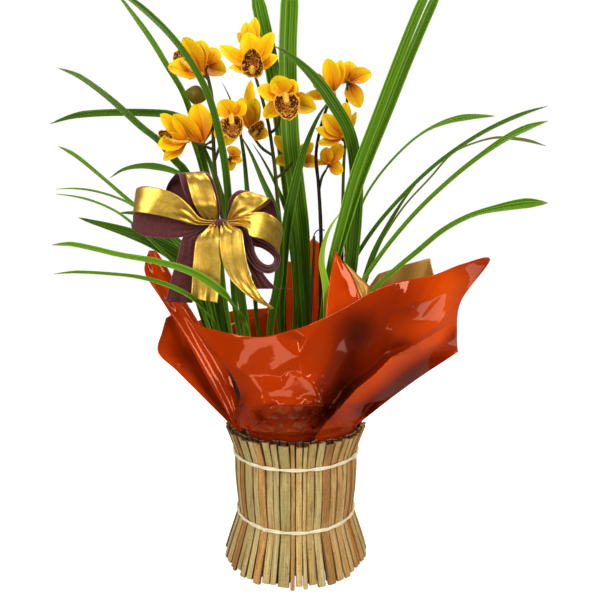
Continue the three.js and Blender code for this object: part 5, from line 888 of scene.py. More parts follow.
def build_raffia():
    for name, z, r in (("lower", 52.0, 67.4), ("upper", 121.0, 71.6)):
        bd = Builder()
        R0 = r + 0.55 + 1.15
        n = 420
        sides = 8
        sd = 3.0 if name == "lower" else 8.0
        # two strands of raffia laid side by side with a slow twist, and a thinner third one wandering over them
        for s, (rad, thick, turns, lift) in enumerate(((1.02, 1.12, 9, 0.0), (1.02, 1.12, 9, 0.0), (1.5, 0.5, 7, 0.5))):
            pts = []
            for i in range(n):
                a = 2 * math.pi * i / n
                ph = turns * a + s * math.pi + 0.9 * nz(math.cos(a) * 2.2, math.sin(a) * 2.2, sd)
                wob = 0.45 * nz(math.cos(a) * 3, math.sin(a) * 3, z)
                rr = R0 + lift + 0.42 * math.cos(ph)
                pts.append(Vector((rr * math.cos(a), rr * math.sin(a), z + wob + rad * math.sin(ph) * (0.9 + 0.25 * nz(math.cos(a) * 4, math.sin(a) * 4, sd + s)))))
            rings = []
            for i in range(n):
                t = (pts[(i + 1) % n] - pts[(i - 1) % n]).normalized()
                a = Vector((0, 0, 1)) - t * t.z
                a.normalize()
                c = t.cross(a)
                q = thick * (1.0 + 0.10 * nz(math.cos(2 * math.pi * i / n) * 14, math.sin(2 * math.pi * i / n) * 14, s * 5.0))
                rings.append([pts[i] + a * (q * math.cos(w)) + c * (q * 0.86 * math.sin(w)) for w in [2 * math.pi * k / sides for k in range(sides)]])
            base = len(bd.v)
            for i, ring in enumerate(rings):
                for k, p in enumerate(ring):
                    bd.vert(p, (k / sides, i / 4.0), 0.5)
            for i in range(n):
                for k in range(sides):
                    a0 = base + i * sides + k
                    a1 = base + i * sides + (k + 1) % sides
                    b0 = base + ((i + 1) % n) * sides + k
                    b1 = base + ((i + 1) % n) * sides + (k + 1) % sides
                    bd.f.append((a0, a1, b1, b0))
                    bd.m.append(0)
        # frayed ends where the cord is knotted
        ka = math.radians(-28 if name == "upper" else -118)
        kc = Vector(((R0 + 1.2) * math.cos(ka), (R0 + 1.2) * math.sin(ka), z))
        bd.ball(kc, 2.1, 0, 0.5, 10, bump=0.3)
        er = Vector((math.cos(ka), math.sin(ka), 0))
        et = Vector((-math.sin(ka), math.cos(ka), 0))
        for q in range(4):
            d = et * (3 + q * 1.2) * (1 if q % 2 else -1) + er * (0.6 + 0.3 * q) + Vector((0, 0, -4 + 2.1 * q))
            bd.tube([kc, kc + d * 0.6, kc + d + er * 0.4], lambda u: 0.5 * (1 - 0.6 * u), 6, 0, 0.5, 6)
        bd.build("raffia_" + name, [M_RAFFIA], replaces=("raffia_cord_" + name,))


# ---------------------------------------------------------------- pot, bark, pseudobulbs
def build_inside():
    for n, mat in (("base_disc", M_DISC), ("nursery_pot", M_POT)):
        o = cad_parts[n]
        for k in range(len(o.material_slots)):
            o.material_slots[k].material = mat
    bd = Builder()
    rr = random.Random(11)
    # a plug of bark with chips lying on it
    R = []
    for z, r in ((9.5, 40.4), (60, 45.0), (118, 49.5), (121.5, 49.8)):
        R.append([Vector((r * math.cos(a), r * math.sin(a), z)) for a in [2 * math.pi * k / 40 for k in range(40)]])
    bd.rings(R, 0, 0.2)
    for k in range(300):
        a, r = rr.uniform(0, 2 * math.pi), 47.0 * math.sqrt(rr.random())
        c = Vector((r * math.cos(a), r * math.sin(a), 121.6 + rr.uniform(0, 2.0)))
        ax = Vector((rr.uniform(-1, 1), rr.uniform(-1, 1), rr.uniform(-0.3, 0.3))).normalized()
        L, W, H = rr.uniform(3, 7), rr.uniform(2, 4), rr.uniform(0.8, 1.5)
        side = ax.cross(Vector((0, 0, 1))).normalized()
        upv = side.cross(ax)
        R = []
        for t in (-1, -0.55, 0.5, 1):
            s = (1 - 0.25 * abs(t)) * (1 + rr.uniform(-0.15, 0.15))
            R.append([c + ax * (L * t / 2) + side * (W / 2 * s * math.cos(q)) + upv * (H / 2 * s * math.sin(q)) for q in [2 * math.pi * j / 6 for j in range(6)]])
        bd.rings(R, 0, rr.random())
    bd.build("bark_chips", [M_BARK], replaces=("potting_bark",), autosmooth=30)
    for name, x, y, r, h in (("pseudobulb_left", -44, -3, 15, 56), ("pseudobulb_middle", -8, 14, 14.5, 60), ("pseudobulb_right", 36, 3, 14, 54)):
        bd = Builder()
        R = []
        n = 26
        for i in range(n + 1):
            u = i / n
            rad = (r - 0.3) * math.pow(max(0.02, math.sin(math.pi * (0.12 + 0.86 * u))), 0.7)
            ring = []
            for k in range(36):
                a = 2 * math.pi * k / 36
                q = rad * (1 + 0.025 * math.cos(9 * a) + 0.03 * nz(math.cos(a) * 2 + x, math.sin(a) * 2, u * 3))
                ring.append(Vector((x + q * math.cos(a), y + 0.8 * q * math.sin(a), 125.2 + h * u)))
            R.append(ring)
        bd.rings(R, 0)
        # papery leaf sheaths clasping the lower half
        for s in range(3):
            a0 = s * 2.2 + x
            G = []
            for i in range(13):
                u = i / 12
                row = []
                for j in range(15):
                    a = a0 + (j / 14 - 0.5) * 2.6
                    zz = 126.5 + (h * (0.34 + 0.16 * s)) * u * (1 - 0.35 * abs(j / 14 - 0.5) * 2)
                    uu = (zz - 125.2) / h
                    rad = r * math.pow(max(0.02, math.sin(math.pi * (0.12 + 0.86 * uu))), 0.7) + 0.5 + 0.45 * s
                    row.append(Vector((x + rad * math.cos(a), y + 0.8 * rad * math.sin(a), zz)))
                G.append(row)
            bd.sheet(G, 0.3, 1)
        bd.build(name + "_skin", [M_BULB, M_SHEATH], replaces=(name,))


# ---------------------------------------------------------------- leaves
# each leaf's colour set, and a factor for the painted shade on it: lower is darker, lowest on the leaves further back
LEAF_KIND_AND_SHADE = {
    "leaf_left_tall": ("dark", 0.95), "leaf_left_arc_thin": ("mid", 0.75), "leaf_left_high": ("dark", 1.25), "leaf_left_dark": ("dark", 0.9),
    "leaf_left_mid": ("mid", 0.85), "leaf_left_broad": ("dark", 0.95), "leaf_left_bright": ("mid", 1.1), "leaf_left_lowest": ("mid", 1.0),
    "leaf_left_back": ("mid", 0.7), "leaf_centre_behind": ("mid", 0.75), "leaf_centre_tall": ("mid", 0.95), "leaf_centre_arch": ("dark", 1.15),
    "leaf_centre_cross": ("dark", 1.0), "leaf_spike_dark": ("dark", 0.8), "leaf_spike_left": ("dark", 0.85), "leaf_right_twin": ("mid", 0.95),
    "leaf_right_pale": ("mid", 0.85), "leaf_right_long": ("dark", 1.1), "leaf_right_bright": ("mid", 0.85), "leaf_right_low": ("mid", 0.82),
    "leaf_right_upright": ("dark", 0.9), "leaf_young": ("bright", 0.95),
}


# blades that turn their face to the front
LEAF_FACE = {("leaf_left_high", 1): (0.0, -0.95, 0.32), ("leaf_left_broad", 0): (0.1, -0.95, 0.30), ("leaf_left_dark", 0): (0.0, -0.95, 0.32), ("leaf_left_back", 1): (0.0, -0.95, 0.30)}
# where the blade starts to narrow, its width, how much wider it gets towards the tip, and its turn about its own length
LEAF_FORM = {
    "leaf_centre_arch": [(0.84, 1.0, 1.0, 0.0)],
    "leaf_left_high": [(0.96, 1.15, 1.1, 0.25), (0.80, 1.25, 1.0, 0.0)],
    "leaf_left_dark": [(0.93, 1.10, 1.05, 0.2)],
    "leaf_left_mid": [(0.96, 1.20, 1.1, 0.2), (0.92, 1.15, 1.1, 0.3), (0.92, 1.15, 1.1, 0.2), (0.9, 1.0, 1.0, 0.0)],
    "leaf_left_broad": [(0.60, 1.50, 1.0, 0.2)],
    "leaf_left_back": [(0.80, 1.0, 1.0, 0.0), (0.86, 0.80, 2.2, 0.0), (0.7, 1.0, 1.0, 0.0)],
    "leaf_centre_tall": [(0.91, 1.10, 1.0, 0.0)],
    "leaf_centre_behind": [(0.93, 1.12, 1.0, 0.0)],
    "leaf_right_twin": [(0.94, 1.06, 1.0, 0.0)] * 3,
    "leaf_left_tall": [(0.88, 1.1, 1.0, 0.0)],
    "leaf_left_bright": [(0.96, 1.05, 1.25, 0.25)],
    "leaf_left_lowest": [(0.93, 1.05, 1.0, 0.2)],
    "leaf_left_arc_thin": [(0.88, 1.15, 1.0, 0.0)],
    "leaf_right_pale": [(0.92, 0.44, 2.9, 0.5), (0.95, 0.50, 1.9, 0.5)],
    "leaf_right_long": [(0.93, 0.68, 1.05, 0.2)],
    "leaf_right_bright": [(0.95, 0.64, 1.45, 0.2)],
    "leaf_right_low": [(0.95, 0.60, 2.0, 0.3)],
}


def leaf_profile(u, late=0.66):
    b = 0.34 + 0.66 * smooth(0.02, 0.50, u)
    if u > late:
        t = (1 - u) / (1 - late)
        b *= math.pow(max(0, t), 0.62) * (1 - 0.12 * (1 - t))
    return b


def blade(bd, path, width, face, tone, seed, mat=0, fold=0.60, late=0.66, tipw=1.0, twist=0.0):
    n = 70
    c = crom(path, n)
    f0 = v3(face).normalized()
    G = []
    last = None
    length = sum((c[i + 1] - c[i]).length for i in range(n))
    for i in range(n + 1):
        u = i / n
        t = (c[min(n, i + 1)] - c[max(0, i - 1)]).normalized()
        f = Matrix.Rotation(0.22 * nz(seed, u * 2.2) + twist * smooth(0.35, 0.95, u), 3, t) @ f0
        nn = f - t * f.dot(t)
        if nn.length < 0.15 and last is not None:
            nn = last.copy()
        nn.normalize()
        last = nn.copy()
        w = t.cross(nn).normalized()
        hw = max(0.12, width * 0.5 * leaf_profile(u, late) * lerp(1.0, tipw, smooth(late - 0.14, late, u))) * (1 + 0.03 * nz(seed + 4, u * 7))
        fo = fold * (1.25 - 0.55 * u)
        row = []
        m = 10
        for j in range(m + 1):
            s = 2 * j / m - 1
            a = abs(s)
            lift = fo * hw * (a * 0.9 + 0.10 * a * a) - 0.06 * hw * a ** 3
            rip = 0.25 * math.sin(a * 9.0) * 0.12 * hw
            row.append(c[i] + w * (-s * hw * (1 - 0.06 * fo)) + nn * (lift + rip + 0.25 * a * nz(seed + 7, u * 9, s)))
        G.append(row)
    # tone falls towards the base of the blade: painted shade where it goes down into the wrap
    bd.sheet(G, lambda u, v: 0.75 * (1 - 0.75 * abs(2 * v - 1)) * (0.55 + 0.45 * leaf_profile(u)) + 0.12, mat, uv=lambda u, v: (v, u), tone=lambda u, v: tone * (0.36 + 0.64 * smooth(0.08, 0.46, u)))


def build_leaves():
    for idx, (name, blades) in enumerate(LAY["leaves"].items()):
        kind, tone = LEAF_KIND_AND_SHADE[name]
        bd = Builder()
        mats = [M_LEAF[kind]]
        for k, b in enumerate(blades):
            mi = 0
            if name == "leaf_right_pale" and k == 1:
                mats.append(M_LEAF["dry"])
                mi = 1
            late, wide, tipw, twist = LEAF_FORM.get(name, [(0.66, 1.0, 1.0, 0.0)] * 4)[k]
            blade(bd, b["p"], b["w"] * wide, LEAF_FACE.get((name, k), b["n"]), tone, idx * 3.7 + k * 1.3, mi, late=late, tipw=tipw, twist=twist)
        bd.build(name + "_blade", mats, replaces=(name,))


# ---------------------------------------------------------------- flower spikes, stakes, bud
def nearest_stem(c):
    """the spike nearest to a flower, and the point on it"""
    best = (1e9, None, None)
    for name, tubes in LAY["spikes"].items():
        for t in tubes:
            for a, b in zip(t["p"], t["p"][1:]):
                a, b = v3(a), v3(b)
                s = max(0.0, min(1.0, (c - a).dot(b - a) / (b - a).length_squared))
                q = a.lerp(b, s)
                if (c - q).length < best[0]:
                    best = ((c - q).length, name, q)
    return best


def stalk(bd, c, f, q):
    """a flower's own stalk, from the spike to the back of its heart"""
    end = c - f * 2.7
    back = c - f * 6.5 + Vector((0, 0, -2.0))
    if (c - q).length < 12.5:
        path = [q, q.lerp(end, 0.5) + Vector((0, 0, -0.4)), end]
    else:
        path = [q, q.lerp(back, 0.5) + Vector((0, 0, -1.2)), back, end]
    bd.tube(path, lambda u: 1.0 + 0.35 * u, 10, 0, 0.5, 12)


def bow_wire(bd, path):
    """the florist's wire that holds the bow to the stem: out from the knot, round the stem and back"""
    k = v3(LAY["knot"])
    c = min(crom(path, 120), key=lambda p: abs(p.z - k.z - 2))
    ring = [c + Vector((3.3 * math.sin(a), -3.3 * math.cos(a), -0.35 * a)) for a in [2 * math.pi * i / 10 for i in range(14)]]
    pts = [k + Vector((0, 5.5, 0.6)), k.lerp(c, 0.35) + Vector((0.8, 0, 3.0)), k.lerp(c, 0.75) + Vector((-0.6, 0, 3.2))] + ring
    pts += [k.lerp(c, 0.70) + Vector((2.6, 0, -1.6)), k.lerp(c, 0.38) + Vector((2.2, 0, -1.0)), k + Vector((1.8, 5.5, -0.8))]
    bd.tube(pts, lambda u: 0.5, 8, 3, 0.5, 90)


def build_stems():
    stalks = {}
    for fl in LAY["flowers"].values():
        c = v3(fl["c"])
        gap, name, q = nearest_stem(c)
        if gap > 6.0:
            stalks.setdefault(name, []).append((c, v3(fl["f"]), q))
    for name, tubes in LAY["spikes"].items():
        bd = Builder()
        for c, f, q in stalks.get(name, ()):
            stalk(bd, c, f, q)
        if name == "spike_left":
            bow_wire(bd, tubes[0]["p"])
        for k, t in enumerate(tubes):
            r0, r1 = t["r"]
            main = k == 0
            bd.tube(t["p"], lambda u: 1.22 * lerp(r0, r1, u) * (1.0 + (0.10 * max(0, math.cos(u * 40)) ** 12 if main else 0.12 * math.sin(u * 3))), 12, 1 if (name in ("spike_right",) and main) else 0, 0.5, 60 if main else 14)
            if main:
                c = crom(t["p"], 40)
                for q in (8, 14, 20, 26):
                    p, d = c[q], (c[q + 1] - c[q]).normalized()
                    # a papery bract clasping the stem at a node
                    x = d.orthogonal().normalized()
                    G = []
                    for i in range(9):
                        u = i / 8
                        row = []
                        for j in range(9):
                            a = (j / 8 - 0.5) * 3.4 * (1 - 0.75 * u) + q
                            rad = lerp(r0, r1, q / 40) * (1.12 + 0.25 * u)
                            row.append(p + d * (u * 15) + (Matrix.Rotation(a, 3, d) @ x) * rad)
                        G.append(row)
                    bd.sheet(G, 0.25, 2)
        bd.build(name + "_stem", [M_STEM, M_STEM_DARK, M_SHEATH, M_WIRE], replaces=(name,))
    for name, tubes in LAY["stakes"].items():
        bd = Builder()
        for t in tubes:
            r0 = t["r"][0]
            bd.tube(t["p"], lambda u: r0 * (1 + 0.04 * math.sin(u * 60) + (0.22 if abs(u - 0.82) < 0.012 else 0)), 12, 0, 0.5, 60)
            top = v3(t["p"][-1])
            if name == "stake_centre":
                bd.tube([top - Vector((0, 0, 14)), top + Vector((0, 0, 1)), top + Vector((3.5, 0, 6)), top + Vector((9, 0, 7.5)), top + Vector((12, 0, 6))], 0.75, 8, 1, 0.5, 30)
        bd.build(name + "_rod", [M_STAKE, M_WIRE], replaces=(name,))
    a, b, r = v3(LAY["bud"]["a"]), v3(LAY["bud"]["b"]), LAY["bud"]["r"]
    bd = Builder()
    d = b - a
    z = d.normalized()
    x = z.orthogonal().normalized()
    y = z.cross(x)
    R = []
    for i in range(37):
        u = i / 36
        rad = (r - 0.2) * math.pow(math.sin(math.pi * (0.04 + 0.94 * u)), 0.82) * (0.90 + 0.12 * math.sin(math.pi * u))
        ring = []
        for k in range(72):
            q = 2 * math.pi * k / 72
            # three tepals closed over each other, with a seam between each two
            g = 1 - 0.09 * max(0, math.cos(1.5 * (q + 0.9 * u + 0.8))) ** 24 + 0.03 * math.cos(3 * (q + 0.9 * u) + 2.2)
            ring.append(a + z * (d.length * u) + (x * math.cos(q) + y * math.sin(q)) * rad * g)
        R.append(ring)
    bd.rings(R, 0)
    bd.build("flower_bud_closed", [M_BUD], replaces=("flower_bud",))


# ---------------------------------------------------------------- flowers
def tepal(bd, c, tip, width, f, seed, mat_f, mat_b, bend=1.0, toneb=1.0):
    n, m = 22, 14
    d = tip - c
    L = d.length
    t0 = d.normalized()
    # the visible face looks to the viewer's side, tipped towards the flower's own axis
    nn0 = Vector((f.x * 0.4, -0.9, f.z * 0.4 + 0.15))
    nn0 = (nn0 - t0 * nn0.dot(t0)).normalized()
    mid = c.lerp(tip, 0.5) - f * (1.8 * bend) + nn0 * (-1.4)
    cc = crom([c, mid, tip], n)
    skew = 0.10 * math.sin(seed * 2.3)
    G = []
    for i in range(n + 1):
        u = i / n
        t = (cc[min(n, i + 1)] - cc[max(0, i - 1)]).normalized()
        nn = (nn0 - t * nn0.dot(t)).normalized()
        w = t.cross(nn)
        # short claw, broad blade, blunt tip with a small point
        x = 2 * math.pow(u, 0.94) - 1
        prof = math.pow(max(0.0, 1 - abs(x) ** (2.7 if x < 0 else 2.1)), 0.5 if x < 0 else 0.62) * (0.46 + 0.54 * smooth(0.0, 0.45, u))
        prof = max(prof, 0.20 * (1 - u), 0.05)
        hw = max(0.3, width * 0.5 * prof)
        row = []
        for j in range(m + 1):
            s = 2 * j / m - 1
            cup = 0.34 * hw * (s * s) * (1.25 - 0.7 * u)
            curl = 0.9 * smooth(0.72, 1.0, u) * (1 if bend > 0 else -1)
            rip = 0.07 * hw * math.sin(u * 8 + seed) * abs(s) ** 3
            groove = -0.06 * hw * math.exp(-(s * s) / 0.012)
            row.append(cc[i] + w * (-s * hw + skew * hw * math.sin(u * math.pi)) + nn * (cup + rip + groove - curl + 0.4 * nz(seed, u * 3, s * 1.6)))
        G.append(row)
    bd.sheet(G, lambda u, v: 0.75 - 0.35 * abs(2 * v - 1), mat_f, mat_b, uv=lambda u, v: (v, u), tone=toneb)


def lip(bd, c, tip, f, seed, size=1.0):
    """a broad egg-shaped lip, point down, its sides raised round the column and its rim ruffled"""
    a = (tip - c)
    reach = a.length
    a.normalize()
    nrm = (f - a * f.dot(a)).normalized()
    w = a.cross(nrm)
    E = c + a * (reach - 15.0 * size) + nrm * 4.5
    n, m = 56, 16
    G = []
    for i in range(n + 1):
        th = 2 * math.pi * i / n
        ca, sa = math.cos(th), math.sin(th)
        al = (15.0 if ca > 0 else 14.0) * size * ca
        sd = 12.6 * size * sa * (1 - 0.20 * ca) * (1 - 0.16 * max(0.0, -ca) ** 3)
        row = []
        for j in range(m + 1):
            q = max(0.03, j / m)
            bowl = -4.2 * (1 - q * q) + 1.6 * smooth(0.72, 1.0, q)
            horns = 5.0 * q * q * max(0.0, -ca) * abs(sa) * 1.6
            droop = -3.5 * q * q * max(0.0, ca) ** 2
            ruff = (1.0 * q ** 4) * math.sin(9 * th + seed) + 0.4 * q ** 3 * math.sin(17 * th + seed * 2)
            keel = 1.1 * math.exp(-((abs(sa * q) - 0.16) / 0.07) ** 2) * (1 if ca < 0.4 else 0) * (1 - q)
            row.append(E + a * (al * q) + w * (sd * q) + nrm * ((bowl + horns + droop + ruff + keel) * size))
        G.append(row)

    def uv(u, v):
        th = 2 * math.pi * u
        return (0.5 * v * math.sin(th) + seed, 0.58 * v * math.cos(th) + seed * 0.7)

    bd.sheet(G, 0.6, 2, 2, uv=uv, tone=lambda u, v: v)
    # the column arches over the throat, with its pale cap
    top = c - a * 2.0 + nrm * 2.0
    end = E - a * (3.0 * size) + nrm * 3.6
    mid = top.lerp(end, 0.5) + nrm * 3.4 - a * 1.0
    bd.tube([top, mid, end], lambda u: (2.2 + 0.9 * math.sin(u * 2.6)) * size, 12, 3, 0.5, 12)
    bd.ball(end + nrm * 0.3, 2.7 * size, 3, 0.5, 10)


def build_flowers():
    for k, (name, fl) in enumerate(LAY["flowers"].items()):
        bd = Builder()
        c, f = v3(fl["c"]), v3(fl["f"])
        back = "lip" not in fl
        for q, t in enumerate(fl["t"]):
            tepal(bd, c, Vector(t[:3]), t[3] * 1.36, f, k * 5 + q * 1.7, 1 if back else 0, 1, 1.0, 1.0 if not back else 0.9)
        if not back:
            bd.ball(c, 2.6, 1, 0.2, 10)
            lip(bd, c, v3(fl["lip"]), f, k * 1.3, LIP_SIZE.get(name, 0.9))
        else:
            # the flower's heart seen from behind, where the stalk joins
            bd.ball(c, 2.5, 1, 0.0, 10)
            bd.ball(c - f * 0 + Vector((0, -1.6, -2.2)), 1.9, 4, 0.3, 8)
        bd.build(name + "_bloom", [M_PETAL, M_PETAL_BACK, M_LIP, M_COLUMN, M_STEM], replaces=(name,))


LIP_SIZE = {"flower_centre_front": 1.08, "flower_left_front": 0.96, "flower_centre_top": 1.0, "flower_far_left": 0.62, "flower_left_top": 0.8, "flower_right_top": 0.85, "flower_left_side": 0.7}


# ---------------------------------------------------------------- wrapping film
F_PX, EYE = 475.0, Vector((4.85, -557.0, 321.0))
TILT = math.radians(2.7)
FWD, UPW = Vector((0, math.cos(TILT), -math.sin(TILT))), Vector((0, math.sin(TILT), math.cos(TILT)))


def to_flat(p):
    """the point's place on the layout sheet the film was laid out on"""
    d = p - EYE
    w = d.dot(FWD)
    return 300 + F_PX * d.x / w, 300 - F_PX * d.dot(UPW) / w


def from_flat(px, py, y):
    d = Vector((1, 0, 0)) * ((px - 300) / F_PX) + FWD + UPW * (-(py - 300) / F_PX)
    return EYE + d * ((y - EYE.y) / d.y)


class Relief:
    """depth over the layout sheet, flat inside each facet between creases"""

    def __init__(self, pts, edges):
        from mathutils.geometry import delaunay_2d_cdt
        self.pts = pts
        vs, _, fs, vo, _, _ = delaunay_2d_cdt([Vector((p[0], p[1])) for p in pts], [tuple(e) for e in edges], [], 0, 1e-4)
        self.v = [(v.x, v.y, pts[o[0]][2] if o else self.nearest(v.x, v.y)) for v, o in zip(vs, vo)]
        self.t = [tuple(f) for f in fs]
        self.box = [(min(self.v[i][0] for i in f), max(self.v[i][0] for i in f), min(self.v[i][1] for i in f), max(self.v[i][1] for i in f)) for f in self.t]

    def nearest(self, x, y):
        near = sorted(((p[0] - x) ** 2 + (p[1] - y) ** 2 + 1e-6, p[2]) for p in self.pts)[:3]
        s = sum(1 / d for d, _ in near)
        return sum(q / d for d, q in near) / s

    def __call__(self, x, y):
        for f, b in zip(self.t, self.box):
            if x < b[0] - 0.01 or x > b[1] + 0.01 or y < b[2] - 0.01 or y > b[3] + 0.01:
                continue
            A, B, C = (self.v[i] for i in f)
            det = (B[1] - C[1]) * (A[0] - C[0]) + (C[0] - B[0]) * (A[1] - C[1])
            if abs(det) < 1e-9:
                continue
            l1 = ((B[1] - C[1]) * (x - C[0]) + (C[0] - B[0]) * (y - C[1])) / det
            l2 = ((C[1] - A[1]) * (x - C[0]) + (A[0] - C[0]) * (y - C[1])) / det
            l3 = 1 - l1 - l2
            if min(l1, l2, l3) > -0.002:
                return l1 * A[2] + l2 * B[2] + l3 * C[2]
        return self.nearest(x, y)


def crease(x, y, s, seed):
    """sharp-edged crumples: the nearest-cell pattern of a random field, as tilted facets"""
    v = Vector(((x * 0.80 + y * 0.60 + 3.0 * nz(x * 0.05, y * 0.05, seed)) / s, (y * 0.80 - x * 0.60) / (s * 0.82), seed))
    d, pts = noise.voronoi(v, distance_metric="DISTANCE", exponent=2.5)
    k = pts[0]
    tilt = Vector((nz(k.x * 7.1, k.y * 3.3, seed), nz(k.x * 2.7, k.y * 8.9, seed + 4)))
    return (v.xy - k.xy).dot(tilt) * 2.2 - d[0] * 0.5


CREASES = [[(218, 357), (231, 365), (247, 375), (268, 375), (281, 377)], [(281, 377), (282, 389.7), (262, 396), (256, 405)], [(291, 374), (304.5, 377), (315, 384.6), (321, 396), (322, 404.5)],
           [(246, 407), (256, 405), (270, 404.5), (294, 405.5), (322, 404.5), (339, 406)], [(418, 343), (390, 359), (372, 377), (355.5, 390), (341, 406.5), (327, 422), (315, 436.6)],
           [(307.5, 339), (299, 356), (293, 371)], [(236, 339), (231, 352), (231, 365)], [(257, 338), (281, 377)], [(388, 366), (374, 402), (341, 406.5)]]


def near_line(x, y, lines):
    best = 1e9
    for L in lines:
        for a, b in zip(L, L[1:]):
            dx, dy = b[0] - a[0], b[1] - a[1]
            s = max(0.0, min(1.0, ((x - a[0]) * dx + (y - a[1]) * dy) / (dx * dx + dy * dy)))
            best = min(best, math.hypot(x - a[0] - s * dx, y - a[1] - s * dy))
    return best


STREAKS = [((420, 274), (372, 372), 0.9, 5.5), ((404, 279), (366, 358), -0.7, 4.5), ((388, 284), (352, 366), 0.6, 5), ((450, 286), (402, 348), 0.7, 5), ((456, 305), (424, 338), -0.5, 4), ((436, 280), (390, 352), -0.6, 4),
           ((430, 338), (384, 396), 0.8, 4.5), ((456, 332), (372, 398), -0.7, 5), ((458, 346), (352, 420), 0.8, 5)]
RIDGE = [(430, 336), (418, 343), (390, 359), (372, 377), (355.5, 390), (341, 406.5), (327, 422), (315, 436.6)]


def film_painted_light_shade(x, y):
    """painted light and shade over the film: dark in the valleys and folds, bright along the pleat beside the ridge and
    over the wing
    """
    g = lambda L, w: math.exp(-(near_line(x, y, [L]) / w) ** 2)
    t = 0.47
    t -= 0.42 * g([(356, 330), (352, 352), (344, 378), (332, 400)], 19)
    t -= 0.14 * g([(396, 296), (376, 326)], 24)
    d = near_line(x, y, [RIDGE])
    side = 1.0
    best = 1e9
    for a, b in zip(RIDGE, RIDGE[1:]):
        q = math.hypot(x - (a[0] + b[0]) / 2, y - (a[1] + b[1]) / 2)
        if q < best:
            best = q
            side = 1.0 if (b[0] - a[0]) * (y - a[1]) - (b[1] - a[1]) * (x - a[0]) < 0 else -1.0
    if side > 0:
        t += 0.46 * math.exp(-(d / 15) ** 2) * (0.35 + 0.65 * (1 - smooth(395, 425, y)))
    else:
        t -= 0.26 * math.exp(-(d / 12) ** 2)
    t += 0.44 * g([(452, 286), (444, 318), (432, 334)], 21)
    t -= 0.34 * g([(454, 336), (424, 362), (394, 389), (364, 410)], 9)
    t -= 0.16 * g([(258, 420), (292, 420), (318, 416)], 12)
    t -= 0.22 * g([(240, 400), (236, 414)], 9)
    return max(0.0, min(1.0, t))


def relax(H, it, w=0.5, lock=True):
    n, m = len(H) - 1, len(H[0]) - 1
    W = w if isinstance(w, list) else [[w] * (m + 1) for _ in range(n + 1)]
    for _ in range(it):
        K = [r[:] for r in H]
        for i in range(n + 1):
            for j in range(m + 1):
                s, c = 0.0, 0
                if 0 < i < n:
                    s += H[i - 1][j] + H[i + 1][j]
                    c += 2
                if 0 < j < m:
                    s += H[i][j - 1] + H[i][j + 1]
                    c += 2
                if c:
                    K[i][j] = H[i][j] * (1 - W[i][j]) + W[i][j] * s / c
        H = K
    return H


def grid_area(G):
    return sum(((G[i + 1][j] - G[i][j]).cross(G[i][j + 1] - G[i][j])).length for i in range(len(G) - 1) for j in range(len(G[0]) - 1))


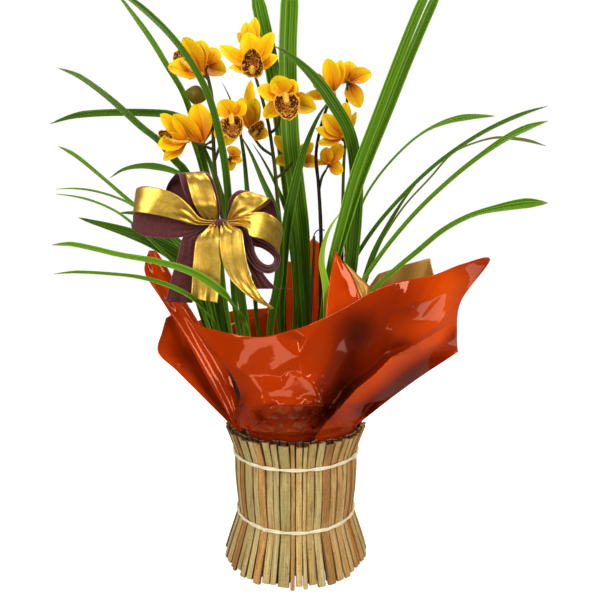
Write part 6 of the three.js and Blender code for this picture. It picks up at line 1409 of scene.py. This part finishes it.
def build_film():
    relief = Relief(LAY["relief"], LAY["relief_edges"])
    # ---- front sheet: tucked between pot and slats, then up to its rim along the columns
    cols = LAY["vfront"]
    nu, nv, nr = 190, 120, 16
    flat = []
    for c in cols:
        neck = Vector((c[0], c[1], 157.0))
        f = to_flat(neck)
        flat.append([Vector((f[0], f[1], 0))] + [Vector((q[0], q[1], 0)) for q in c[2:]])
    V = [crom_even(c, nv) for c in flat]
    Y = [[0.0] * (nv + 1) for _ in range(nu + 1)]
    X = [[None] * (nv + 1) for _ in range(nu + 1)]
    th = crom_even([Vector((math.atan2(c[1], c[0]) % (2 * math.pi), 0, 0)) for c in cols], nu)
    for j in range(nv + 1):
        line = crom_even([V[i][j] for i in range(len(cols))], nu)
        for i in range(nu + 1):
            q = line[i]
            v = j / nv
            r = relief(q.x, q.y)
            ring = 76.0 * math.sin(th[i].x)
            w = smooth(0.0, 0.16, v)
            y = lerp(ring, r, w)
            low = smooth(392, 410, q.y) * (0.30 + 0.70 * smooth(0.0, 0.10, v)) * (1 - smooth(330, 352, q.x))
            mid = smooth(0.1, 0.2, v) * (1 - smooth(0.9, 1.0, v))
            y += 8.5 * low * crease(q.x, q.y, 12.0, 2.3)
            y += 0.8 * mid * nz(q.x * 0.03 + q.y * 0.02, q.y * 0.008, 4.0)
            # long folds that run out of the neck towards the rim
            a = math.atan2(q.y - 455, q.x - 300)
            y += 1.5 * smooth(0.02, 0.3, v) * (1 - 0.4 * v) * (abs(nz(a * 9.0, 0.3, 7.0)) - 0.2) * (1 if q.x > 330 else 0.4)
            Y[i][j] = y
            X[i][j] = q
    # panels ease into smooth curves, the creases stay sharp
    soft = [[0.06 if near_line(X[i][j].x, X[i][j].y, CREASES) < 2.2 else (0.5 if X[i][j].y < 404 or X[i][j].x > 330 else 0.08) for j in range(nv + 1)] for i in range(nu + 1)]
    Y = relax(Y, 9, soft)
    # crisp straight creases running out of the neck over the wing
    for i in range(nu + 1):
        for j in range(nv + 1):
            q = X[i][j]
            if q.x > 330:
                for a, b, h, w in STREAKS:
                    d = near_line(q.x, q.y, [(a, b)])
                    if d < w:
                        e = smooth(0, 12, math.hypot(q.x - a[0], q.y - a[1])) * smooth(0, 16, math.hypot(q.x - b[0], q.y - b[1]))
                        Y[i][j] += h * (1 - d / w) * (0.35 + 0.65 * e) * smooth(0.0, 0.12, j / nv)
    G = [[from_flat(X[i][j].x, X[i][j].y, Y[i][j]) for j in range(nv + 1)] for i in range(nu + 1)]
    full = []
    for i in range(nu + 1):
        a = th[i].x
        er = Vector((math.cos(a), math.sin(a), 0))
        ring = [er * r + Vector((0, 0, z)) for r, z in ((62.6, 58), (63.2, 112), (70.5, 141), (75.0, 153))]
        full.append(crom_even(ring, nr)[:-1] + [ring[-1].lerp(G[i][1], 0.5)] + G[i][1:])
    bd = Builder()
    N1, M1 = len(full) - 1, len(full[0]) - 1

    # painted shade: the part tucked into the holder is dark and the film darkens towards the neck; above that, the
    # painted light and shade of film_painted_light_shade
    def ft(u, v):
        i, j = round(u * N1), round(v * M1)
        k = j - (M1 - nv)
        if k < -3:
            return 0.12
        k = max(0, k)
        return film_painted_light_shade(X[i][k].x, X[i][k].y) - (0.16 * (1 - smooth(0, 14, k)))

    bd.sheet(full, 0.35, 0, 1, tone=ft)
    o = bd.build("film_front_sheet", [M_FILM_OUT, M_FILM_IN], replaces=("film_wrap_front",))
    # ---- the sheet behind: peaks of folded film, bronze inside only at the right
    bd = Builder()
    nu = 240
    cols = LAY["vback"]
    G = []
    n = len(cols) - 1
    for i in range(nu + 1):
        x = n * i / nu
        k = min(n - 1, int(x))
        s = x - k
        A, B = cols[k], cols[k + 1]
        a0, a1 = math.radians(A[0] if A[0] < 340 else A[0] - 360), math.radians(B[0] if B[0] < 340 else B[0] - 360)
        a = lerp(a0, a1, s)
        er = Vector((math.cos(a), math.sin(a), 0))
        ring = [er * r + Vector((0, 0, z)) for r, z in ((59.6, 58), (60.2, 112), (67, 141), (74, 158))]
        mid = v3(A[1]).lerp(v3(B[1]), smooth(0, 1, s))
        top = v3(A[2]).lerp(v3(B[2]), s)
        fold = math.sin(x * math.pi) * 1.2
        G.append(crom_even(ring + [mid + Vector((0, fold, 0)), mid.lerp(top, 0.55) + Vector((0, fold * 1.6, 0)), top], 96))
    for i in range(nu + 1):
        for j in range(len(G[0])):
            v = j / (len(G[0]) - 1)
            G[i][j] = G[i][j] + Vector((0, 1.4 * smooth(0.5, 0.7, v) * nz(i * 0.11, v * 2.0, 3.0), 0))
    # tone: brighter towards the tops of the peaks and dark over the sheet's left-hand end, painted light and shade,
    # with some random variation
    bd.sheet(G, 0.35, 0, 0, tone=lambda u, v: 0.46 + 0.2 * nz(u * 14.0, v * 2.0, 5.0) + 0.16 * smooth(0.75, 1.0, v) - 0.4 * smooth(19.6, 21.5, u * n))
    # bronze faces: the inner side of the right-hand flap and of the strip beside the tallest peak
    m1 = len(G[0]) - 1
    q = 0
    for i in range(nu):
        for j in range(m1):
            v = j / m1
            x = i * n / nu
            if x < lerp(4.2, 6.0, smooth(0.6, 1.0, v)) or x > 20.5:
                bd.m[q + 1] = 1
            q += 2
    area = grid_area(G)
    # ---- the triangular fold that stands just inside the front rim, orange with a bronze lining
    for f, (rails, mt) in enumerate(((LAY["tri"], 0), (LAY["tri_in"], 1))):
        L = crom_even([r[0] for r in rails], 40)
        R = crom_even([r[1] for r in rails], 40)
        H = [[L[i].lerp(R[i], j / 16) + Vector((0, -2.2 * math.sin(math.pi * j / 16) - 0.8 * nz(i * 0.1, j * 0.2, 6.0 + f), 0)) for j in range(17)] for i in range(41)]
        # tone brighter than the main sheet and darker towards its right-hand rail: painted light and shade
        bd.sheet(H, 0.35, mt, mt, tone=lambda u, v: 0.66 - 0.2 * v + 0.1 * nz(u * 5, v * 3, 4.0))
        area += grid_area(H)
    # ---- the two flaps at the left, folded outwards so that the orange side shows
    for f, rails in enumerate(LAY["flaps"]):
        L = crom_even([r[0] for r in rails], 70)
        R = crom_even([r[1] for r in rails], 70)
        H = []
        for i in range(71):
            row = []
            for j in range(25):
                s = j / 24
                p = L[i].lerp(R[i], s)
                wd = (R[i] - L[i]).length
                bulge = wd * (0.12 * math.sin(math.pi * s) + 0.05 * math.sin(3 * math.pi * s + 0.6)) if f == 0 else -0.05 * wd * math.sin(math.pi * s)
                cr = (0.7 if f == 0 else 1.5) * smooth(0.0, 0.2, s) * smooth(0.0, 0.2, 1 - s) * crease(p.x * 0.5 + f * 40, p.z * 0.3, 14.0, 3.0 + f)
                row.append(p + Vector((0, -bulge - cr, 0)))
            H.append(row)
        # tone: the first flap darker towards its lower end, the second darker below its top corner: painted shade
        bd.sheet(H, 0.35, 0, 0, tone=(lambda u, v: 0.52 - 0.16 * smooth(0.3, 0.8, u) + 0.1 * nz(u * 6, v * 3, 1.0)) if f == 0 else (lambda u, v: 0.60 - 0.34 * smooth(0.05, 0.5, v) * smooth(0.1, 0.35, u) + 0.05 * nz(u * 6, v * 3, 2.0)))
        area += grid_area(H)
    o = bd.build("film_back_sheet", [M_FILM_OUT, M_FILM_IN], replaces=("film_wrap_back",))


# ---------------------------------------------------------------- bow
def ribbon(bd, st, n, mat, seed, tone=0.6, thick=0.3, flutter=0.7):
    A = crom_even([s[:3] for s in st], n)
    B = crom_even([s[3:] for s in st], n)
    m = 20
    G = [[A[i].lerp(B[i], j / m) for j in range(m + 1)] for i in range(n + 1)]
    H = []
    run = 0.0
    for i in range(n + 1):
        row = []
        w = (A[i] - B[i]).length
        pinch = max(0.0, 1 - w / 24.0)
        near = max(math.exp(-i / 7.0), math.exp(-(n - i) / 7.0))
        for j in range(m + 1):
            a = G[min(n, i + 1)][j] - G[max(0, i - 1)][j]
            b = G[i][min(m, j + 1)] - G[i][max(0, j - 1)]
            N = a.cross(b)
            N = N.normalized() if N.length > 1e-9 else Vector((0, 0, 1))
            s = j / m
            # gathers that run out from the knot, soft waves further along
            fold = (1.7 * pinch + 1.1 * near) * math.sin(s * math.pi * (4 + 2 * pinch) + seed) + 0.5 * near * math.sin(s * 31 + seed * 2)
            soft = flutter * nz(seed, i / n * 5, s * 1.5) + 0.5 * math.sin(s * math.pi) * math.sin(i * 0.13 + seed)
            row.append(G[i][j] + N * (fold + soft))
        H.append(row)
    L = sum(((A[i + 1] + B[i + 1]) / 2 - (A[i] + B[i]) / 2).length for i in range(n))
    bd.sheet(H, thick, mat, mat, uv=lambda u, v: (v, u * L / 38.0 + seed), tone=tone)
    return L


def build_bow():
    for name, strips, mat, slot, node in (("gold", LAY["vgold"], M_GOLD, "gold_satin", "bow_gold_ribbon"), ("maroon", LAY["vmaroon"], M_MAROON, "maroon_ribbon", "bow_maroon_ribbon")):
        bd = Builder()
        total = 0.0
        for k, st in enumerate(strips):
            total += ribbon(bd, st, 84, 0, k * 1.9 + (0 if name == "gold" else 9), flutter=0.7 if name == "gold" else 1.1)
        if name == "maroon":
            # a pulled thread at the tail's cut end
            e = v3(strips[5][-1][3:])
            bd.tube([e, e + Vector((7, -1, 0.4)), e + Vector((14, 1, -0.3))], 0.25, 5, 0, 0.6, 12)
        o = bd.build("bow_%s_loops" % name, [mat], replaces=(node,))
    # the knot: a short twisted turn of the maroon ribbon over the gathered loops
    bd = Builder()
    kc = v3(LAY["knot"])
    G = []
    for i in range(41):
        a = 2 * math.pi * i / 40
        row = []
        for j in range(11):
            s = j / 10 - 0.5
            r = 4.4 + 0.7 * math.cos(s * 9) + 0.35 * nz(math.cos(a) * 2, math.sin(a) * 2, s * 6)
            row.append(kc + Vector((s * 9 + 1.2 * math.sin(a), -r * math.cos(a) * 1.25 - 4.0, r * math.sin(a))))
        G.append(row)
    bd.sheet(G, 0.6, 0)
    o = bd.build("bow_knot", [M_MAROON])


# ---------------------------------------------------------------- stage and light
def build_stage():
    me = bpy.data.meshes.new("floor")
    s = 6.0
    me.from_pydata([(-s, -s, 0), (s, -s, 0), (s, s, 0), (-s, s, 0)], [], [(0, 1, 2, 3)])
    fl = bpy.data.objects.new("floor", me)
    sc.collection.objects.link(fl)
    m = Mat("floor_pale", rough=0.9, spec=0.1)
    n = m.noise(m.mapping(m.obj(), (1, 1, 1)), scale=3, detail=2)
    lpn = m.N.new("ShaderNodeLightPath")
    # the pale floor is kept out of the film's reflections
    m.color(m.mix(lpn.outputs["Is Glossy Ray"], m.ramp(n, [(0.3, (0.43, 0.43, 0.43, 1)), (0.7, (0.45, 0.45, 0.45, 1))]), (0.10, 0.10, 0.10, 1)))
    m.b.inputs["Emission Color"].default_value = (1, 1, 1, 1)
    m.L.new(m.math("MULTIPLY", lpn.outputs["Is Camera Ray"], 1.0), m.b.inputs["Emission Strength"])
    me.materials.append(m.mat)
    w = bpy.data.worlds.new("studio")
    sc.world = w
    w.use_nodes = True
    nt = w.node_tree
    bg = nt.nodes["Background"]
    # soft studio surround: bright behind and above the object, dimmer in front; the backdrop itself is white
    tc = nt.nodes.new("ShaderNodeTexCoord")
    sp = nt.nodes.new("ShaderNodeSeparateXYZ")
    nt.links.new(tc.outputs["Generated"], sp.inputs[0])

    def mth(op, a, b=None, clamp=False):
        n = nt.nodes.new("ShaderNodeMath")
        n.operation = op
        n.use_clamp = clamp
        for k, x in enumerate((a, b)):
            if x is None:
                continue
            if isinstance(x, (int, float)):
                n.inputs[k].default_value = x
            else:
                nt.links.new(x, n.inputs[k])
        return n.outputs[0]

    yy = mth("ADD", mth("MULTIPLY", sp.outputs[1], 0.12), 0.22)
    zz = mth("MULTIPLY", mth("MAXIMUM", sp.outputs[2], 0.0), 0.14)
    lp = nt.nodes.new("ShaderNodeLightPath")
    amb = mth("MULTIPLY", mth("ADD", yy, zz), mth("SUBTRACT", 1.25, mth("MULTIPLY", lp.outputs["Is Glossy Ray"], 0.85)))
    st = mth("ADD", mth("MULTIPLY", lp.outputs["Is Camera Ray"], 1.02), mth("MULTIPLY", mth("SUBTRACT", 1.0, lp.outputs["Is Camera Ray"]), amb))
    bg.inputs[0].default_value = (1, 1, 1, 1)
    nt.links.new(st, bg.inputs[1])

    def area(name, loc, target, size, energy, color=(1, 1, 1), sy=None):
        d = bpy.data.lights.new(name, "AREA")
        d.energy = energy
        d.size = size
        d.color = color
        if sy:
            d.shape = "RECTANGLE"
            d.size_y = sy
        o = bpy.data.objects.new(name, d)
        o.location = loc
        o.rotation_euler = (Vector(target) - Vector(loc)).to_track_quat("-Z", "Y").to_euler()
        sc.collection.objects.link(o)

    area("key", (0.95, -0.95, 1.10), (0, 0, 0.30), 0.5, 15, sy=0.7)
    area("fill", (-0.95, -0.95, 0.80), (0, 0, 0.25), 0.4, 9, sy=0.6)
    area("low", (-0.52, -1.15, 0.09), (0, -0.1, 0.2), 0.56, 2.7, sy=0.30)
    area("rim", (0.60, 0.00, 0.10), (0.19, -0.034, 0.33), 0.12, 0.05, color=(1.0, 0.85, 0.72), sy=0.08)
    area("back", (0.25, 1.0, 1.25), (0, 0, 0.45), 0.8, 7)
    area("top", (0.0, -0.1, 1.7), (0, 0, 0.3), 0.5, 7)


build_stage()
build_slats()
build_raffia()
build_inside()
build_stems()
build_leaves()
build_flowers()
build_film()
build_bow()
